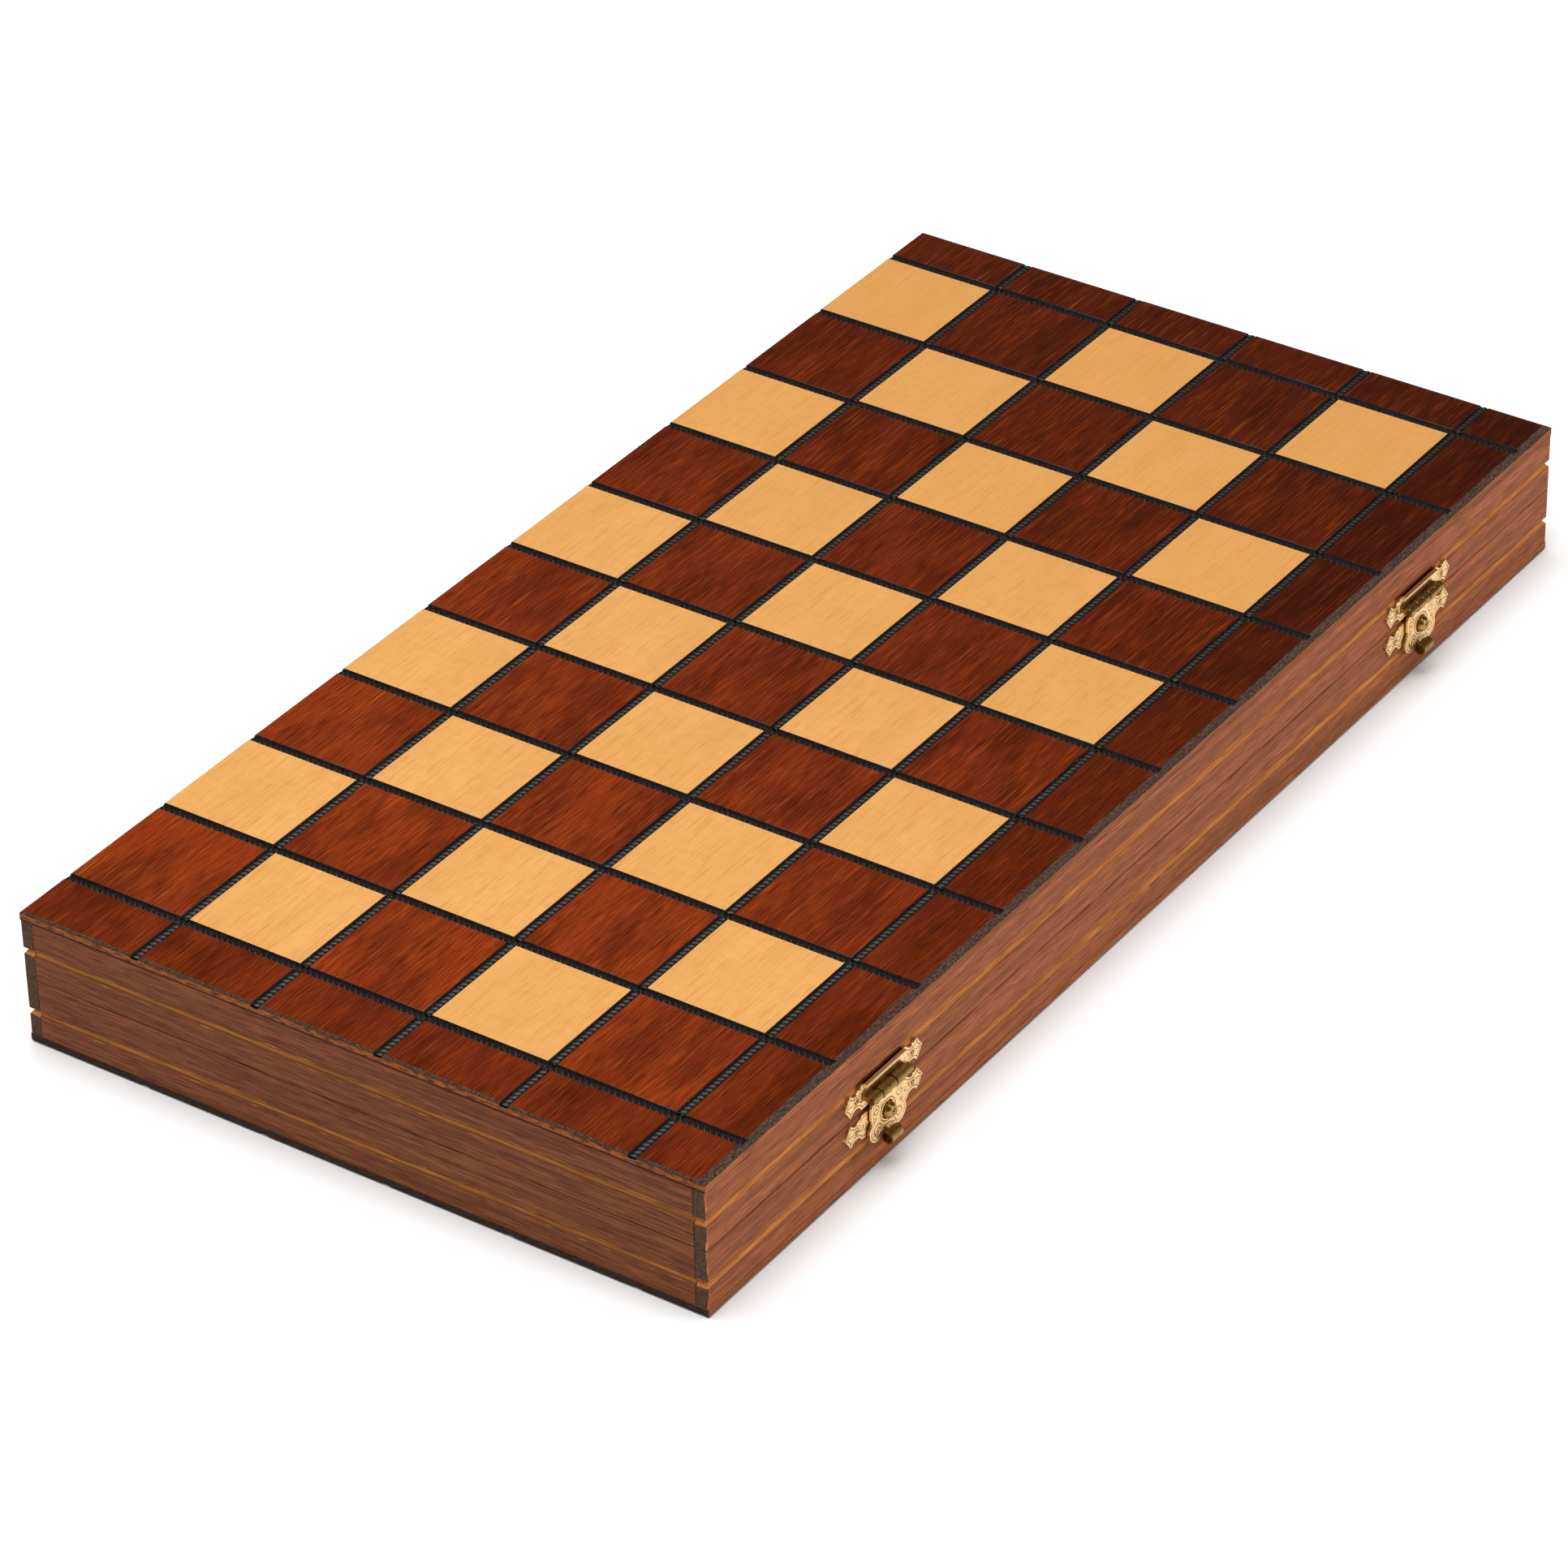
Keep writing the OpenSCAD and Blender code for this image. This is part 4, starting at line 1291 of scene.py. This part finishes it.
MAN_PITCH = 29.6  # between the middles of two stacks
STACK_STEP = 7.05  # from one man to the next in a stack
STACKS, STACK_MEN = 5, 4
# One face of a man, as (depth in millimetres, share of the radius): boss, rings and rounded rim.
MAN_FACE = (
    (0.0, 0.0), (0.0, 0.3), (0.04, 0.38), (0.2, 0.42), (0.7, 0.45), (0.8, 0.5), (0.8, 0.6),
    (0.65, 0.62), (0.8, 0.64), (0.75, 0.74), (0.25, 0.78), (0.0, 0.82),
    (0.0, 0.9), (0.12, 0.95), (0.45, 0.985), (1.0, 1.0),
)


class GAMECASE_OT_men(bpy.types.Operator):
    """Builds the two sets of turned men in their stacks"""

    bl_idname = "gamecase.men"
    bl_label = "Men"

    def execute(self, context):
        settings = context.scene.gamecase_play
        radius, thick = settings.man_d / MM / 2, settings.man_t / MM
        face = [(depth, share * radius) for depth, share in MAN_FACE]
        profile = face + [(thick - depth, r) for depth, r in reversed(face)]
        finishes = {
            "light": ("hornbeam_turned_clear_lacquered", tuple(settings.light), -1),
            "dark": ("hornbeam_turned_dark_stained", tuple(settings.dark), 1),
        }
        for name, (finish, colour, side) in finishes.items():
            shape = Shape()
            for i in range(STACKS):
                for k in range(STACK_MEN):
                    y = (i - (STACKS - 1) / 2) * MAN_PITCH
                    centre = (side * MAN_PITCH / 2, y, PANEL_T + k * STACK_STEP)
                    shape.add(*turned(profile, settings.segments, centre, "Z"))
            piece = shape.piece(name + "_men_turned", [shared(finish, turned_wood, colour)], 60)
            place(piece, "base", name + "_men_wood", name + "_men")
        return {"FINISHED"}


PIPS = {
    1: [(0, 0)],
    2: [(-1, -1), (1, 1)],
    3: [(0, 0), (-1, -1), (1, 1)],
    4: [(-1, -1), (1, 1), (-1, 1), (1, -1)],
    5: [(0, 0), (-1, -1), (1, 1), (-1, 1), (1, -1)],
    6: [(-1, -1), (1, 1), (-1, 1), (1, -1), (-1, 0), (1, 0)],
}


def die_shape(side):
    """A die with rounded edges and drilled pips, about the origin."""
    half, rounding, cells = side / 2, side * 0.14, 56
    pip_r, pip_d, pip_step = 1.45, 0.75, side * 0.25
    shape = Shape()
    grid = np.linspace(-half, half, cells + 1)
    a, b = (g.ravel() for g in np.meshgrid(grid, grid, indexing="ij"))
    quads = grid_faces(cells + 1, cells + 1)
    middles = np.array([[(a[q[0]] + a[q[2]]) / 2, (b[q[0]] + b[q[2]]) / 2] for q in quads])
    turns = {5: (0, "X"), 2: (180, "X"), 3: (90, "X"), 4: (-90, "X"), 6: (90, "Y"), 1: (-90, "Y")}
    for number, (degrees, axis) in turns.items():
        turn = Matrix.Rotation(math.radians(degrees), 3, axis)
        cube = np.stack([a, b, np.full(len(a), half)], axis=1)
        core = np.clip(cube, -half + rounding, half - rounding)
        away = cube - core
        verts = core + rounding * away / np.maximum(np.linalg.norm(away, axis=1), 1e-9)[:, None]
        spots = np.array(PIPS[number], float) * pip_step
        off = np.min(np.linalg.norm(np.stack([a, b], 1)[:, None] - spots[None], axis=2), axis=1)
        ball = (pip_r**2 + pip_d**2) / (2 * pip_d)
        bowl = np.sqrt(np.maximum(ball**2 - off**2, 0)) - (ball - pip_d)
        verts[:, 2] -= np.clip(bowl, 0, None)
        near = np.min(np.linalg.norm(middles[:, None] - spots[None], axis=2), axis=1) < pip_r
        shape.add(verts @ np.array(turn).T, quads, near.astype(int).tolist())
    return shape


class GAMECASE_OT_dice(bpy.types.Operator):
    """Builds the two dice"""

    bl_idname = "gamecase.dice"
    bl_label = "Dice"

    def execute(self, context):
        settings = context.scene.gamecase_play
        side = settings.die_s / MM
        ivory = shared("resin_cast_ivory", moulded_plastic, linear("#efe6cf"), 0.25)
        ink = shared("resin_pip_black", moulded_plastic, linear("#1b1917"), 0.4)
        throws = {"die_one": (58, -14, 18, 0), "die_two": (66, 12, -31, 90)}
        for name, (x, y, about_z, about_x) in throws.items():
            shape = die_shape(side)
            turn = Matrix.Rotation(math.radians(about_z), 4, "Z")
            turn = turn @ Matrix.Rotation(math.radians(about_x), 4, "X")
            centre = Matrix.Translation((x, y, PANEL_T + side / 2))
            shape.verts = [tuple(centre @ turn @ Vector(v)) for v in shape.verts]
            piece = shape.piece(name + "_moulded", [ivory, ink])
            place(piece, "base", "dice_plastic", name)
        return {"FINISHED"}


# ---- stage ----

CAMERA_AT = (-1.17042, -0.80060, 0.94735)  # metres
CAMERA_TURN = (56.2381, 1.0409, -55.8645)  # degrees about X, Y and Z
CAMERA_LENS = 151.33
FLOOR_REACH = 4000
FLOOR_GAP = 0.1  # so that the foot and the floor don't fight

def softbox(name, place_at, size, power):
    """A square area light, in metres, aimed at the middle of the case's foot."""
    data = bpy.data.lights.new(name, "AREA")
    data.shape = "SQUARE"
    data.size = size
    data.energy = power
    light = linked(name, data)
    light.location = place_at
    light.rotation_euler = (-Vector(place_at)).to_track_quat("-Z", "Y").to_euler()


def studio_world():
    """White seen by the camera, a soft fill on matt faces, and a dim room in the gloss."""
    world = bpy.data.worlds.new("studio")
    world.use_nodes = True
    tree = world.node_tree
    tree.nodes.clear()
    path = node(tree, "LightPath").outputs
    fill, dim, white = (
        node(tree, "Background", {"Color": (1, 1, 1, 1), "Strength": strength}).outputs[0]
        for strength in (0.5, 0.1, 1.0)
    )
    lit = node(tree, "MixShader", {0: path["Is Glossy Ray"], 1: fill, 2: dim}).outputs[0]
    seen = node(tree, "MixShader", {0: path["Is Camera Ray"], 1: lit, 2: white}).outputs[0]
    node(tree, "OutputWorld", {"Surface": seen})
    return world


class GAMECASE_OT_stage(bpy.types.Operator):
    """Builds the floor, the soft studio light and the camera"""

    bl_idname = "gamecase.stage"
    bl_label = "Stage"

    def execute(self, context):
        settings = context.scene.gamecase_stage
        paper, _, bsdf = new_material("floor_paper_matt", Roughness=0.9, Specular_IOR_Level=0.0)
        bsdf.inputs["Base Color"].default_value = rgba(settings.floor)
        verts = [(x * FLOOR_REACH, y * FLOOR_REACH, 0) for x, y in ((-1, -1), (1, -1), (1, 1), (-1, 1))]
        floor = add_piece("floor", verts, [(0, 1, 2, 3)], [paper])
        floor.location.z = -FLOOR_GAP * MM
        softbox("softbox_top", (-0.2, 0.1, 1.8), 1.5, settings.top_light)
        softbox("softbox_clasp_side", (0.5, -2.0, 0.9), 1.2, settings.clasp_light)
        softbox("softbox_left_end", (-1.9, 0.4, 0.9), 1.0, settings.end_light)
        context.scene.world = studio_world()
        context.scene.view_settings.view_transform = "Standard"
        camera_data = bpy.data.cameras.new("camera")
        camera_data.lens = CAMERA_LENS
        camera_data.sensor_width = 36.0
        camera_data.clip_end = 20.0
        camera = linked("camera", camera_data)
        camera.location = CAMERA_AT
        camera.rotation_euler = [math.radians(angle) for angle in CAMERA_TURN]
        context.scene.camera = camera
        return {"FINISHED"}


OPERATORS = (
    GAMECASE_OT_stage,
    GAMECASE_OT_boards,
    GAMECASE_OT_ropes,
    GAMECASE_OT_walls,
    GAMECASE_OT_plates,
    GAMECASE_OT_hasps,
    GAMECASE_OT_knobs,
    GAMECASE_OT_hinges,
    GAMECASE_OT_men,
    GAMECASE_OT_dice,
)


class GAMECASE_PT_panel(bpy.types.Panel):
    """Lists the case's operators and settings"""

    bl_idname = "GAMECASE_PT_panel"
    bl_label = "Game Case"
    bl_space_type = "VIEW_3D"
    bl_region_type = "UI"
    bl_category = "Game Case"

    def draw(self, context):
        for operator in OPERATORS:
            self.layout.operator(operator.bl_idname)
        for key in SETTINGS:
            group = getattr(context.scene, key)
            box = self.layout.box()
            for name in group.bl_rna.properties.keys():
                if name not in ("rna_type", "name"):
                    box.prop(group, name)


SETTINGS = {
    "gamecase_board": GAMECASE_PG_board,
    "gamecase_walls": GAMECASE_PG_walls,
    "gamecase_brass": GAMECASE_PG_brass,
    "gamecase_play": GAMECASE_PG_play,
    "gamecase_stage": GAMECASE_PG_stage,
}


def register():
    """Registers the settings, the operators and the panel."""
    for kind in (*SETTINGS.values(), *OPERATORS, GAMECASE_PT_panel):
        bpy.utils.register_class(kind)
    for key, kind in SETTINGS.items():
        setattr(bpy.types.Scene, key, PointerProperty(type=kind))


def unregister():
    """Removes what register added."""
    for key in SETTINGS:
        delattr(bpy.types.Scene, key)
    for kind in (GAMECASE_PT_panel, *reversed(OPERATORS), *SETTINGS.values()):
        bpy.utils.unregister_class(kind)


def main():
    """Builds the stage and every piece."""
    register()
    for operator in OPERATORS:
        group, name = operator.bl_idname.split(".")
        getattr(getattr(bpy.ops, group), name)()


if __name__ == "__main__":
    main()
